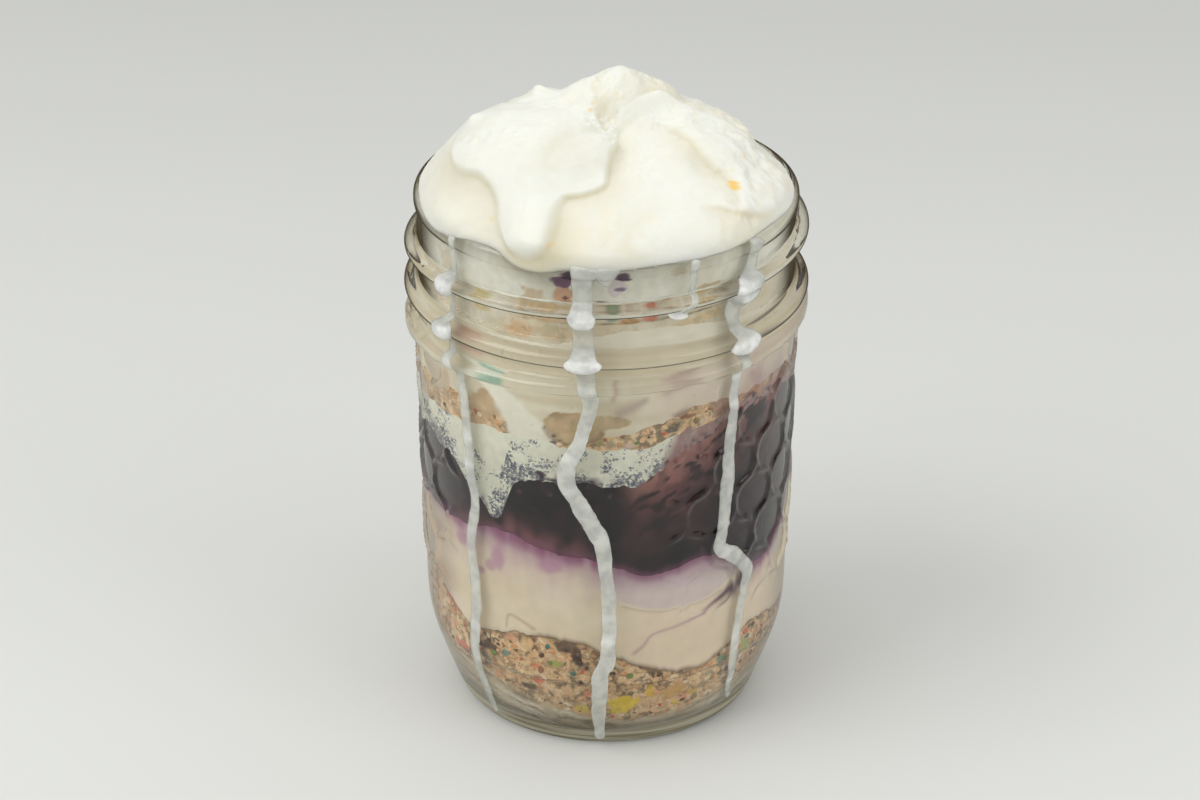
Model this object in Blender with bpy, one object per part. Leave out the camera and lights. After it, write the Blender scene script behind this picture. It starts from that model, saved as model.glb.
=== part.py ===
"""A half-pint glass preserving jar filled with a no-bake cheesecake.

The jar stands on its foot ring with its axis on +Z and its front towards -Y.
From the bottom it holds crumbs, cheesecake, dark fruit compote, speckled cream,
crumbs, cheesecake, crumbs, and a spooned mound of whipped cream above the rim.
Milky drips run down the outside of the glass.
Sizes below are in millimetres and angles in degrees, counted to the right from
the front; the meshes are built in metres.
"""

from math import cos, degrees, pi, radians, sin

import bmesh
import bpy
import numpy as np

MM = 0.001
GAP = 0.3                    # clearance between neighbouring pieces

# Jar
JAR_HEIGHT = 96.6
FOOT_INNER, FOOT_OUTER = 23.4, 25.2
PUSH_UP = 1.0                # hollow under the base
PUSH_UP_FALL, PUSH_UP_EDGE = 0.2, 3.2
BODY_LOW, BODY_HIGH = 32.08, 32.8
HEEL_TOP, SHOULDER = 21.0, 76.0
BEAD_RADIUS, BEAD_Z = 34.78, 79.2
NECK_RADIUS, RIM_RADIUS = 32.35, 32.83
RIM_CREST, RIM_CURVE_Z = 31.2, 95.15   # top of the rim's rounding and where it starts
INNER_LOW, INNER_HIGH, INNER_NECK = 29.4, 29.9, 29.5
FLOOR_Z = 3.3
# The rounding between the inner wall and the floor, from the wall down.
INNER_HEEL = ((29.0, 15.0), (28.1, 10.5), (26.8, 6.8), (24.6, 4.4), (21.2, 3.5))
JAR_SEGMENTS = 48

# Screw thread: one right-handed ridge of a little over a turn
THREAD_RADIUS = 34.7
THREAD_FRONT_Z, THREAD_PITCH = 88.2, 6.35
THREAD_START, THREAD_END = -196.0, 208.0
THREAD_TAPER = 22.0
THREAD_HALF_HEIGHT = 1.7
THREAD_STEPS = 54

# Layers
LAYER_SEGMENTS = 40
LAYER_RINGS = 3

# Whipped cream
CREAM_COLUMNS, CREAM_ROWS = 52, 24
CREAM_HEART_Z = 91.0         # the point that the mound's rays start from
CREAM_SOFTNESS = 0.9         # how far neighbouring spoonfuls melt into each other
RING_OUTER, RING_BOTTOM = 42.0, 70.0   # outer size of the ring that trims the cream
LIP_LOWEST = 94.6            # how far down the cream may hang outside the rim


# ---------------------------------------------------------------- shared tools

def polar(angle, radius, z):
    """A point at an angle counted to the right from the front."""
    turn = radians(angle)
    return (radius * sin(turn) * MM, -radius * cos(turn) * MM, z * MM)


def swells(angle, level, bumps):
    """A level round the jar, raised by soft bumps of (angle, width, height)."""
    height = level
    for centre, width, rise in bumps:
        away = (angle - centre + 180.0) % 360.0 - 180.0
        height = height + rise * np.exp(-(away / width) ** 2)
    return height


def make_material(name, colour, roughness, alpha=1.0, transmission=0.0):
    material = bpy.data.materials.new(name)
    material.use_nodes = True
    shader = material.node_tree.nodes["Principled BSDF"]
    shader.inputs["Base Color"].default_value = (*colour, 1.0)
    shader.inputs["Roughness"].default_value = roughness
    shader.inputs["Metallic"].default_value = 0.0
    shader.inputs["Alpha"].default_value = alpha
    shader.inputs["Transmission Weight"].default_value = transmission
    return material


def make_object(name, vertices, faces, material=None, collection=None):
    """A closed, smooth-shaded mesh object whose faces point out."""
    mesh = bpy.data.meshes.new(name)
    mesh.from_pydata(vertices, [], faces)
    shell = bmesh.new()
    shell.from_mesh(mesh)
    bmesh.ops.recalc_face_normals(shell, faces=shell.faces)
    shell.to_mesh(mesh)
    shell.free()
    mesh.shade_smooth()
    mesh.set_sharp_from_angle(angle=radians(40.0))
    if material:
        mesh.materials.append(material)
    obj = bpy.data.objects.new(name, mesh)
    (collection or bpy.context.scene.collection).objects.link(obj)
    return obj


def revolve(columns, closed_profile=False):
    """Vertices and faces of a round body from one list of points per angle.

    Unless the profile is closed, the first and last points of every column lie on
    the axis and become one vertex each.
    """
    count = len(columns)
    vertices = []
    faces = []
    if closed_profile:
        rows = len(columns[0])
        for column in columns:
            vertices.extend(column)
        for turn in range(count):
            here, after = turn * rows, (turn + 1) % count * rows
            for row in range(rows):
                step = (row + 1) % rows
                faces.append((here + row, after + row, after + step, here + step))
        return vertices, faces
    vertices = [columns[0][0], columns[0][-1]]
    rows = len(columns[0]) - 2
    for column in columns:
        vertices.extend(column[1:-1])
    for turn in range(count):
        here, after = 2 + turn * rows, 2 + (turn + 1) % count * rows
        faces.append((0, after, here))
        for row in range(rows - 1):
            faces.append((here + row, after + row, after + row + 1, here + row + 1))
        faces.append((1, here + rows - 1, after + rows - 1))
    return vertices, faces


def arc(centre_r, centre_z, radius_r, radius_z, start, end, steps):
    """Points along an elliptical arc in the (radius, height) plane."""
    points = []
    for step in range(steps + 1):
        turn = radians(start + (end - start) * step / steps)
        points.append((centre_r + radius_r * cos(turn), centre_z + radius_z * sin(turn)))
    return points


# ------------------------------------------------------------------------- jar

def jar_outer_outline():
    """From the foot ring up to the top of the rim."""
    outline = [(FOOT_OUTER, 0.0), (26.4, 0.8), (27.4, 3.0), (28.5, 6.0), (29.95, 10.0)]
    outline += [(31.2, 14.0), (31.85, 17.5), (BODY_LOW, HEEL_TOP), (BODY_HIGH, SHOULDER)]
    bead_rise = BEAD_RADIUS - BODY_HIGH
    outline += arc(BODY_HIGH, BEAD_Z, bead_rise, 1.5, -80.0, 80.0, 6)
    outline += [(NECK_RADIUS, 81.6), (NECK_RADIUS, 92.3)]
    outline += [(RIM_RADIUS, 93.7), (RIM_RADIUS, RIM_CURVE_Z)]
    crown = JAR_HEIGHT - RIM_CURVE_Z
    return outline + arc(RIM_CREST, RIM_CURVE_Z, RIM_RADIUS - RIM_CREST, crown, 20.0, 90.0, 4)


def jar_inner_outline():
    """From the top of the rim down to the floor on the axis."""
    crown = JAR_HEIGHT - RIM_CURVE_Z
    outline = arc(RIM_CREST, RIM_CURVE_Z, INNER_NECK - RIM_CREST, crown, 70.0, 0.0, 3)
    outline += [(INNER_NECK, 82.0), (INNER_HIGH, SHOULDER), (INNER_LOW, HEEL_TOP)]
    return outline + [*INNER_HEEL, (0.0, FLOOR_Z)]


def inner_radius(z):
    """Radius of the jar's inner wall at a height above the floor's edge."""
    wall = jar_inner_outline()[3:-1]
    heights = [point[1] for point in wall][::-1]
    widths = [point[0] for point in wall][::-1]
    return float(np.interp(z, heights, widths))


def floor_clearance():
    """The inside of the heel and floor moved in by the clearance, from the axis outwards."""
    heel = [(INNER_LOW, HEEL_TOP), *INNER_HEEL, (0.0, FLOOR_Z)]
    points = [(0.0, FLOOR_Z + GAP * 1.2)]
    for outer, here, inner in zip(heel[-3::-1], heel[-2::-1], heel[:0:-1]):
        across, rise = inner[0] - outer[0], inner[1] - outer[1]
        share = GAP * 1.2 / np.hypot(across, rise)
        points.append((here[0] + share * rise, here[1] - share * across))
    return points


def thread_height(angle):
    return THREAD_FRONT_Z + THREAD_PITCH * angle / 360.0


def thread_fade(angle):
    """How proud the thread stands: full along its run, nothing at its ends."""
    near = min(angle - THREAD_START, THREAD_END - angle) / THREAD_TAPER
    return max(0.0, min(1.0, near)) ** 0.7


def outer_radius(angle, z):
    """Radius of the jar's outside at a point, thread included."""
    outline = jar_outer_outline()
    heights = [point[1] for point in outline]
    widths = [point[0] for point in outline]
    radius = float(np.interp(z, heights, widths))
    for turn in (angle - 360.0, angle, angle + 360.0):
        if THREAD_START < turn < THREAD_END:
            off = (z - thread_height(turn)) / (THREAD_HALF_HEIGHT * 1.2)
            proud = (THREAD_RADIUS - NECK_RADIUS) * thread_fade(turn)
            radius = max(radius, NECK_RADIUS + proud * (1.0 - off * off))
    return radius


def build_jar_wall(material):
    outline = [(0.0, PUSH_UP), (FOOT_INNER - PUSH_UP_EDGE, PUSH_UP - PUSH_UP_FALL), (FOOT_INNER, 0.0)]
    outline += jar_outer_outline() + jar_inner_outline()
    step = 360.0 / JAR_SEGMENTS
    columns = [[polar(turn * step, r, z) for r, z in outline] for turn in range(JAR_SEGMENTS)]
    vertices, faces = revolve(columns)
    return make_object("jar", vertices, faces, material)


def sweep(name, rings, material, collection):
    """A closed body from a row of rings, its two ends filled."""
    sides = len(rings[0])
    vertices = [point for ring in rings for point in ring]
    faces = [tuple(range(sides)), tuple(range(len(vertices) - sides, len(vertices)))]
    for index in range(len(rings) - 1):
        here, after = index * sides, (index + 1) * sides
        for side in range(sides):
            step = (side + 1) % sides
            faces.append((here + side, here + step, after + step, after + side))
    return make_object(name, vertices, faces, material, collection)


def build_thread(material, collection):
    """The ridge is a rounded wedge whose root lies inside the neck's wall."""
    root = NECK_RADIUS - 0.9
    rings = []
    for step in range(THREAD_STEPS + 1):
        angle = THREAD_START + (THREAD_END - THREAD_START) * step / THREAD_STEPS
        z = thread_height(angle)
        crest = NECK_RADIUS - 0.3 + (THREAD_RADIUS - NECK_RADIUS + 0.3) * thread_fade(angle)
        half = THREAD_HALF_HEIGHT
        ring = [(root, z - half), (crest - 0.35, z - 0.3 * half), (crest, z + 0.05 * half)]
        ring += [(crest - 0.45, z + 0.4 * half), (root, z + half)]
        rings.append([polar(angle, r, height) for r, height in ring])
    return sweep("thread", rings, material, collection)


# Each drip: points (angle, height, half width) from its top to its lower end.
DRIPS = {
    "left": [(-51, 94.0, 0.9), (-51, 88.2, 1.8), (-51.5, 85, 0.8), (-52.5, 79.4, 2.2), (-51, 74.5, 1.1),
             (-48, 70, 1.1), (-46.5, 63, 1.1), (-45, 53, 1.15), (-43.5, 47, 1.1), (-45.5, 39, 1.15),
             (-44.5, 28, 1.15), (-46, 15, 1.1), (-46, 6, 1.0), (-45, 2, 0.7)],
    "centre": [(-8, 94.1, 1.9), (-7.5, 87.8, 2.4), (-7, 84, 1.4), (-6.5, 79.1, 2.9), (-5.5, 74.5, 1.3),
               (-4.5, 71, 1.2), (-7.5, 64.5, 1.2), (-12.5, 57, 1.7), (-8, 51.5, 1.5), (-3, 46.5, 1.6),
               (-1, 43, 1.3), (0.5, 35, 1.25), (0.5, 22, 1.3), (-2, 17, 1.45), (-2.5, 9, 1.3),
               (-2.5, 1.2, 1.1)],
    "right": [(48, 94.1, 1.1), (45, 88.4, 2.5), (39.5, 84.7, 1.4), (42, 78.9, 2.6), (41.5, 73, 1.0),
              (40, 63, 1.1), (39, 51, 1.4), (38, 43, 1.3), (37, 39.6, 1.4), (43, 37, 1.4),
              (49, 32.6, 1.3), (46.5, 27, 1.0), (44.5, 17, 1.0), (47, 9, 0.8), (51, 4.5, 0.6)],
    "short": [(26, 94.1, 0.8), (25, 89.6, 0.8), (21.5, 86.4, 1.9), (21, 84.8, 0.8)],
    "back_right": [(131, 94.0, 1.1), (130, 88, 2.1), (131, 79.2, 2.3), (128, 66, 1.1), (131, 52, 1.2),
                   (127, 38, 1.2), (129, 24, 1.1), (128, 11, 0.9)],
    "back": [(181, 94.0, 1.2), (182, 86.4, 2.1), (183, 79.2, 2.5), (180, 64, 1.2), (184, 50, 1.3),
             (181, 40, 1.2), (182, 34.6, 1.9)],
    "back_left": [(236, 94.0, 1.1), (235, 87.2, 1.9), (237, 79.2, 2.2), (234, 68, 1.1), (238, 55, 1.2),
                  (235, 38, 1.2), (237, 20, 1.0), (236, 5, 0.8)],
}
DRIP_STEP = 4.4              # distance between rings along a drip
DRIP_SINK = 0.7              # how deep its root lies in the glass
# Across a drip: place from edge to edge, and height as a share of its thickness.
DRIP_SECTION = ((-1.0, None), (-0.8, 0.45), (-0.3, 1.0), (0.3, 1.0), (0.8, 0.45), (1.0, None))


def smooth_route(points):
    """Evenly spaced stations on a smooth curve through a drip's points."""
    points = np.array(points, float)
    padded = np.vstack([2.0 * points[0] - points[1], points, 2.0 * points[-1] - points[-2]])
    stations = []
    for before, start, end, after in zip(padded, padded[1:], padded[2:], padded[3:]):
        length = np.hypot(end[1] - start[1], radians(end[0] - start[0]) * BODY_HIGH)
        steps = max(1, int(round(length / DRIP_STEP)))
        for step in range(steps):
            t = step / steps
            bend = (2.0 * before - 5.0 * start + 4.0 * end - after) * t * t
            twist = (3.0 * start - before - 3.0 * end + after) * t ** 3
            stations.append(0.5 * (2.0 * start + (end - before) * t + bend + twist))
    return stations + [points[-1]]


def build_drip(name, points, material, collection):
    """A half-round run of thin cream that follows the outside of the glass."""
    rings = []
    for angle, z, half in smooth_route(points):
        thick = 0.55 + 0.3 * half
        ring = []
        for part, share in DRIP_SECTION:
            beside = angle + degrees(part * half / BODY_HIGH)
            lift = -DRIP_SINK if share is None else share * thick
            ring.append(polar(beside, outer_radius(beside, z) + lift, z))
        rings.append(ring)
    return sweep(name, rings, material, collection)


def fuse(obj, collection):
    """Join a collection's bodies to an object by one Boolean union."""
    union = obj.modifiers.new("Fuse", "BOOLEAN")
    union.operation = "UNION"
    union.operand_type = "COLLECTION"
    union.collection = collection
    union.solver = "EXACT"
    finish_modifiers(obj)
    for part in list(collection.objects):
        bpy.data.objects.remove(part, do_unlink=True)
    bpy.data.collections.remove(collection)


def finish_modifiers(obj):
    """Turn an object's evaluated shape into its own mesh."""
    bpy.context.view_layer.update()
    evaluated = obj.evaluated_get(bpy.context.evaluated_depsgraph_get())
    mesh = bpy.data.meshes.new_from_object(evaluated)
    obj.modifiers.clear()
    obj.data = mesh


def build_jar():
    glass = make_material("Clear glass", (0.93, 0.96, 0.94), 0.05, 0.35, 1.0)
    jar = build_jar_wall(glass)
    on_glass = bpy.data.collections.new("On the glass")
    bpy.context.scene.collection.children.link(on_glass)
    build_thread(glass, on_glass)
    for name, points in DRIPS.items():
        build_drip("drip_" + name, points, glass, on_glass)
    fuse(jar, on_glass)
    jar.data.materials.clear()
    jar.data.materials.append(glass)
    return jar


# ---------------------------------------------------------------------- layers

# Where two layers meet at the glass: a level and the bumps (angle, width, height) on it.
MEETINGS = {
    "crumb_base": (20.4, [(-74, 15, 8.0), (-14, 27, 5.6), (25, 45, -4.6), (53, 13, 3.6),
                          (145, 35, 1.9), (196, 27, 2.7)]),
    "cheesecake_lower": (41.0, [(-36, 13, 2.0), (15, 16, -4.2), (59, 20, -8.8), (185, 38, -3.0)]),
    "compote": (54.5, [(-37, 6, -7.6), (-46, 10, -4.3), (10, 9, -2.9), (53, 38, 9.3),
                       (105, 45, 3.1), (191, 41, 3.6)]),
    "speckled_cream": (60.3, [(-33, 24, 2.2), (14, 5, -0.9), (55, 42, 5.4), (165, 45, 3.1)]),
    "crumb_middle": (64.5, [(-44, 23, 2.3), (-14, 21, -1.6), (30, 10, 1.9), (60, 43, 3.0),
                            (176, 9, 2.5)]),
    "cheesecake_upper": (81.2, [(-25, 15, -1.2), (15, 25, 2.4), (120, 40, 1.5), (230, 35, -0.8)]),
    "crumb_upper": (85.6, [(-22, 16, 1.0), (18, 28, 1.6), (110, 40, 1.2), (240, 30, 0.9)]),
}

LAYER_LOOKS = {
    "crumb_base": ((0.56, 0.40, 0.24), 0.9),
    "cheesecake_lower": ((0.80, 0.70, 0.58), 0.5),
    "compote": ((0.045, 0.022, 0.040), 0.3),
    "speckled_cream": ((0.80, 0.78, 0.68), 0.5),
    "crumb_middle": ((0.50, 0.36, 0.22), 0.9),
    "cheesecake_upper": ((0.74, 0.66, 0.52), 0.5),
    "crumb_upper": ((0.58, 0.42, 0.26), 0.9),
}


def meeting_height(name, angle, share):
    """Height of a layer's top; the wall's unevenness fades towards the middle."""
    level, bumps = MEETINGS[name]
    at_wall = swells(angle, level, bumps)
    across = 0.5 * sin(radians(3.0 * angle + 40.0 * share)) * share * (1.0 - share)
    return level + (at_wall - level) * share ** 1.5 + across


def build_layer(name, below):
    """A disc of food that fills the jar between the layer below and its own top."""
    columns = []
    for turn in range(LAYER_SEGMENTS):
        angle = 360.0 * turn / LAYER_SEGMENTS
        top_edge = meeting_height(name, angle, 1.0) - 0.5 * GAP
        column = []
        if below is None:
            heel = floor_clearance()
            column.extend(polar(angle, radius, z) for radius, z in heel)
            wall_heights = (0.5 * (heel[-1][1] + top_edge),)
        else:
            low_edge = meeting_height(below, angle, 1.0) + 0.5 * GAP
            for ring in range(LAYER_RINGS + 1):
                share = ring / LAYER_RINGS
                radius = share * (inner_radius(low_edge) - GAP)
                z = meeting_height(below, angle, share) + 0.5 * GAP
                column.append(polar(angle, radius, z))
            wall_heights = ()
            if low_edge < 80.0 < top_edge:
                wall_heights = (76.0,)
        for z in wall_heights:
            column.append(polar(angle, inner_radius(z) - GAP, z))
        for ring in range(LAYER_RINGS, -1, -1):
            share = ring / LAYER_RINGS
            radius = share * (inner_radius(top_edge) - GAP)
            z = meeting_height(name, angle, share) - 0.5 * GAP
            column.append(polar(angle, radius, z))
        columns.append(column)
    vertices, faces = revolve(columns)
    colour, roughness = LAYER_LOOKS[name]
    return make_object(name, vertices, faces, make_material(name, colour, roughness))


# --------------------------------------------------------------- whipped cream

# Spoonfuls that make the mound: centre (x, y, z) and half sizes (x, y, z).
SPOONFULS = [
    ((-0.2, -1.0, 96.0), (30.2, 30.4, 8.6)),      # the bulk, level with the rim
    ((-12.0, -3.5, 100.0), (16.0, 17.5, 11.4)),   # large smooth lobe on the left
    ((-17.6, 2.0, 97.6), (9.2, 13.5, 8.6)),       # its outer flank
    ((-11.6, -20.8, 98.0), (5.2, 11.8, 5.2)),     # tongue of that lobe over the front
    ((10.0, 3.0, 98.5), (13.5, 17.5, 10.8)),      # lobe on the right
    ((1.0, 5.0, 103.5), (9.5, 9.0, 10.2)),        # shoulder under the peak
    ((3.2, 6.0, 109.2), (4.6, 4.4, 5.8)),         # rough peak
    ((8.2, 6.0, 107.7), (4.7, 4.4, 4.9)),         # its right shoulder
    ((-4.0, 3.5, 109.2), (4.0, 3.6, 4.2)),        # small curl beside the peak
    ((-10.5, 5.0, 106.6), (5.0, 5.0, 4.9)),       # crest between the left lobe and the peak
    ((18.8, 1.4, 100.2), (6.9, 10.6, 6.4)),       # crest along the right
    ((-21.0, -10.0, 97.1), (8.3, 10.2, 4.4)),     # swelling over the left of the rim
    ((-23.4, -1.0, 97.6), (6.8, 9.0, 4.6)),       # steep left side
    ((9.5, -15.0, 98.0), (14.4, 13.4, 4.8)),      # apron over the front right
    ((22.2, -4.3, 96.9), (8.2, 10.2, 4.3)),       # steep right side
    ((6.0, 18.0, 97.4), (13.0, 10.4, 5.2)),       # swelling at the back
    ((-2.0, -18.4, 97.4), (12.6, 13.1, 4.4)),     # apron over the front
]


def cream_depth(x, y, z):
    """Near enough the distance outside the melted-together spoonfuls."""
    total = 0.0
    for (cx, cy, cz), (rx, ry, rz) in SPOONFULS:
        reach = np.sqrt(((x - cx) / rx) ** 2 + ((y - cy) / ry) ** 2 + ((z - cz) / rz) ** 2)
        total = total + np.exp(-(reach - 1.0) * min(rx, ry, rz) / CREAM_SOFTNESS)
    return -CREAM_SOFTNESS * np.log(total)


def cream_reach(angles, tilts):
    """Distance from the mound's heart to its surface, found by halving."""
    dx, dy, dz = np.sin(tilts) * np.sin(angles), -np.sin(tilts) * np.cos(angles), np.cos(tilts)
    near = np.zeros_like(angles)
    far = np.full_like(angles, 60.0)
    for _ in range(26):
        middle = 0.5 * (near + far)
        inside = cream_depth(dx * middle, dy * middle, CREAM_HEART_Z + dz * middle) < 0.0
        near = np.where(inside, middle, near)
        far = np.where(inside, far, middle)
    return near


def build_rim_cutter():
    """The glass rim with its clearance, as a ring that trims the cream."""
    inside, outside = INNER_NECK - GAP, RIM_RADIUS + GAP
    crown = JAR_HEIGHT - RIM_CURVE_Z + GAP
    ring = [(RING_OUTER, RING_BOTTOM), (inside, RING_BOTTOM), (inside, RIM_CURVE_Z)]
    ring += arc(RIM_CREST, RIM_CURVE_Z, inside - RIM_CREST, crown, 20.0, 90.0, 4)
    ring += arc(RIM_CREST, RIM_CURVE_Z, outside - RIM_CREST, crown, 70.0, 0.0, 4)
    ring += [(outside, LIP_LOWEST), (RING_OUTER, LIP_LOWEST)]
    step = 360.0 / JAR_SEGMENTS
    columns = [[polar(turn * step, r, z) for r, z in ring] for turn in range(JAR_SEGMENTS)]
    vertices, faces = revolve(columns, closed_profile=True)
    cutter = make_object("rim_cutter", vertices, faces)
    cutter.hide_render = True
    cutter.display_type = "WIRE"
    return cutter


def build_whipped_cream(below):
    """A mound over the mouth, with a plug that reaches down to the crumbs."""
    plug_radius = INNER_NECK + 0.8
    columns = []
    for turn in range(CREAM_COLUMNS):
        angle = 360.0 * (turn + 0.5) / CREAM_COLUMNS
        plug_z = meeting_height(below, angle, 1.0) + 0.5 * GAP
        lowest = pi / 2.0 + np.arctan2(CREAM_HEART_Z - plug_z, plug_radius)
        tilts = lowest * np.linspace(0.0, 1.0, CREAM_ROWS + 1)
        reaches = cream_reach(np.full_like(tilts, radians(angle)), tilts)
        reaches = np.maximum(reaches, np.where(tilts > 1.4, plug_radius / np.sin(tilts + 1e-9), 0.0))
        reaches[-1] = np.hypot(plug_radius, CREAM_HEART_Z - plug_z)
        column = []
        for tilt, reach in zip(tilts, reaches):
            column.append(polar(angle, reach * sin(tilt), CREAM_HEART_Z + reach * cos(tilt)))
        for ring in range(LAYER_RINGS - 1, -1, -1):
            share = ring / LAYER_RINGS
            z = meeting_height(below, angle, share) + 0.5 * GAP
            column.append(polar(angle, share * plug_radius, z))
        columns.append(column)
    vertices, faces = revolve(columns)
    cream = make_object("whipped_cream", vertices, faces, make_material("Whipped cream", (0.93, 0.91, 0.84), 0.45))
    cutter = build_rim_cutter()
    trim = cream.modifiers.new("Trim at the rim", "BOOLEAN")
    trim.operation = "DIFFERENCE"
    trim.object = cutter
    trim.solver = "EXACT"
    finish_modifiers(cream)
    bpy.data.objects.remove(cutter, do_unlink=True)
    return cream


# -------------------------------------------------------------------- assembly

def main():
    for obj in list(bpy.data.objects):
        bpy.data.objects.remove(obj, do_unlink=True)
    build_jar()
    below = None
    for name in MEETINGS:
        build_layer(name, below)
        below = name
    build_whipped_cream(below)


main()
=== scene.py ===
from math import pi, radians

import bpy
import numpy as np
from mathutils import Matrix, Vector


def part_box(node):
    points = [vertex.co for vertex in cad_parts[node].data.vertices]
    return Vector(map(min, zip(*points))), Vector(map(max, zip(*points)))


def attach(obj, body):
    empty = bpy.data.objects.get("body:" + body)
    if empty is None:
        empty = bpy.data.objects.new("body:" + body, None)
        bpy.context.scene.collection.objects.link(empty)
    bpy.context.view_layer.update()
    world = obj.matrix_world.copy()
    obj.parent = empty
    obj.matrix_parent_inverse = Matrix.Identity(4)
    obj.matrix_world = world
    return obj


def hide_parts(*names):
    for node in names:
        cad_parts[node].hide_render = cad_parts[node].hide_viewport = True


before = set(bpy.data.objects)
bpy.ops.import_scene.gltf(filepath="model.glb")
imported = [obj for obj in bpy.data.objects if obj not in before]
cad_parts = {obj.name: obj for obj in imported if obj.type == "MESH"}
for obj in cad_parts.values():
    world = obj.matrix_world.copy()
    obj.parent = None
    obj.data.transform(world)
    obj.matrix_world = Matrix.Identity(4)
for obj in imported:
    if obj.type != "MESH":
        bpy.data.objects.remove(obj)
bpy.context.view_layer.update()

# ============================================================================ THE GLASS JAR
# A half-pint preserving jar pressed from clear glass: a rounded heel, a straight body with
# a quilted relief on both sides of a plain front, a full ring under the neck and a screw
# thread of a little over one turn. It is one turned wall, thick at the base, olive and
# darkened by a painted dark reflection where the neck is seen edge-on, faintly bloomed on
# the body, the bloom also a painted sheen at grazing angles, and matt with fine lines at the foot.
# Lengths from here on are in millimetres until a mesh is made; angles are in degrees,
# counted to the right from the front.

MM = 0.001
jar_high = np.array(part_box("jar")[1]) / MM
RIM_Z = jar_high[2]
BEAD_RADIUS = jar_high[0]
BODY_TOP, BODY_FOOT = BEAD_RADIUS - 1.98, BEAD_RADIUS - 2.70
RIM_RADIUS, NECK_RADIUS = BEAD_RADIUS - 1.95, BEAD_RADIUS - 2.43
BORE_BODY, BORE_NECK = BEAD_RADIUS - 4.88, BEAD_RADIUS - 5.28
HEEL_Z, SHOULDER_Z, BEAD_Z = 21.0, RIM_Z - 20.6, RIM_Z - 17.4
RIM_CREST, RIM_CURVE_Z = BEAD_RADIUS - 3.58, RIM_Z - 1.45
THREAD_Z, THREAD_PITCH = RIM_Z - 8.4, 6.35
THREAD_START, THREAD_END, THREAD_FADE = -196.0, 208.0, 24.0
THREAD_PROUD, THREAD_HALF = 2.25, 1.40
QUILT_CENTRE, QUILT_MID_Z = 78.0, 47.5        # where two ribs cross
QUILT_ACROSS, QUILT_UP = 18.0, 15.0           # size of a diamond, in degrees and in height
RIB_PROUD, RIB_WIDTH, RIB_SPACING = 0.55, 0.46, 7.2
GLASS_COLUMNS = 384


def smooth_line(points, step):
    """A smooth curve through a few points, sampled at an even step."""
    points = np.array(points, float)
    padded = np.vstack([2 * points[0] - points[1], points, 2 * points[-1] - points[-2]])
    line = []
    for before, start, end, after in zip(padded, padded[1:], padded[2:], padded[3:]):
        count = max(1, int(np.ceil(np.linalg.norm((end - start)[:2]) / step)))
        for t in np.arange(count) / count:
            bend = (2 * before - 5 * start + 4 * end - after) * t * t
            twist = (3 * start - before - 3 * end + after) * t ** 3
            line.append(0.5 * (2 * start + (end - before) * t + bend + twist))
    return np.array(line + [points[-1]])


def arc(centre, radii, start, end, count):
    turn = np.radians(np.linspace(start, end, count))
    return np.stack([centre[0] + radii[0] * np.cos(turn), centre[1] + radii[1] * np.sin(turn)], 1)


def soft_step(value, low, high):
    share = np.clip((value - low) / (high - low), 0.0, 1.0)
    return share * share * (3.0 - 2.0 * share)


def turned(radius, angle, z):
    """Points at a radius, an angle to the right of the front, and a height."""
    turn = np.radians(angle)
    return np.stack([radius * np.sin(turn), -radius * np.cos(turn), z + 0.0 * turn], -1)


def around(angle, centre):
    """How far an angle lies from a centre, the short way round."""
    return (angle - centre + 180.0) % 360.0 - 180.0


def drift(points, size, seed):
    """Soft random values between -1 and 1 that change over a distance of size."""
    table = np.random.default_rng(seed).uniform(-1.0, 1.0, 4096)
    place = np.asarray(points) / size + 200.0
    cell = np.floor(place).astype(np.int64)
    share = place - cell
    share = share * share * (3.0 - 2.0 * share)
    total = 0.0
    for corner in np.ndindex(2, 2, 2):
        mixed = (cell + corner) * (73856093, 19349663, 83492791)
        value = table[(mixed[..., 0] ^ mixed[..., 1] ^ mixed[..., 2]) & 4095]
        weight = np.prod(np.where(np.array(corner) == 1, share, 1.0 - share), axis=-1)
        total = total + value * weight
    return total


def skin(name, rings, first, last):
    """A closed mesh from rings of points, shut by a pole before and after them."""
    rows, columns = rings.shape[:2]
    row, column = np.meshgrid(np.arange(rows - 1), np.arange(columns), indexing="ij")
    after = (column + 1) % columns
    quads = np.stack([row * columns + column, row * columns + after,
                      (row + 1) * columns + after, (row + 1) * columns + column], -1)
    edge = np.arange(columns)
    beyond = (edge + 1) % columns
    low, high = rows * columns, rows * columns + 1
    base = (rows - 1) * columns
    faces = quads.reshape(-1, 4).tolist()
    faces += np.stack([edge * 0 + low, beyond, edge], -1).tolist()
    faces += np.stack([edge * 0 + high, base + edge, base + beyond], -1).tolist()
    points = np.vstack([rings.reshape(-1, 3), first, last]) * MM
    mesh = bpy.data.meshes.new(name)
    mesh.from_pydata(points.tolist(), [], faces)
    mesh.shade_smooth()
    piece = bpy.data.objects.new(name, mesh)
    bpy.context.scene.collection.objects.link(piece)
    return piece


def new_finish(name, roughness, specular=0.5):
    """A material, its node tree and its shader."""
    material = bpy.data.materials.new(name)
    material.use_nodes = True
    tree = material.node_tree
    shader = tree.nodes["Principled BSDF"]
    shader.inputs["Roughness"].default_value = roughness
    shader.inputs["Specular IOR Level"].default_value = specular
    return material, tree, shader


def add_node(tree, kind, settings=None, **inputs):
    """A node with its settings, and its sockets set to a value or wired to a socket."""
    node = tree.nodes.new(kind)
    for key, value in (settings or {}).items():
        setattr(node, key, value)
    for key, value in inputs.items():
        socket = node.inputs[int(key[1:]) if key[1:].isdigit() else key.replace("_", " ")]
        if isinstance(value, bpy.types.NodeSocket):
            tree.links.new(value, socket)
        else:
            socket.default_value = value
    return node


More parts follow.
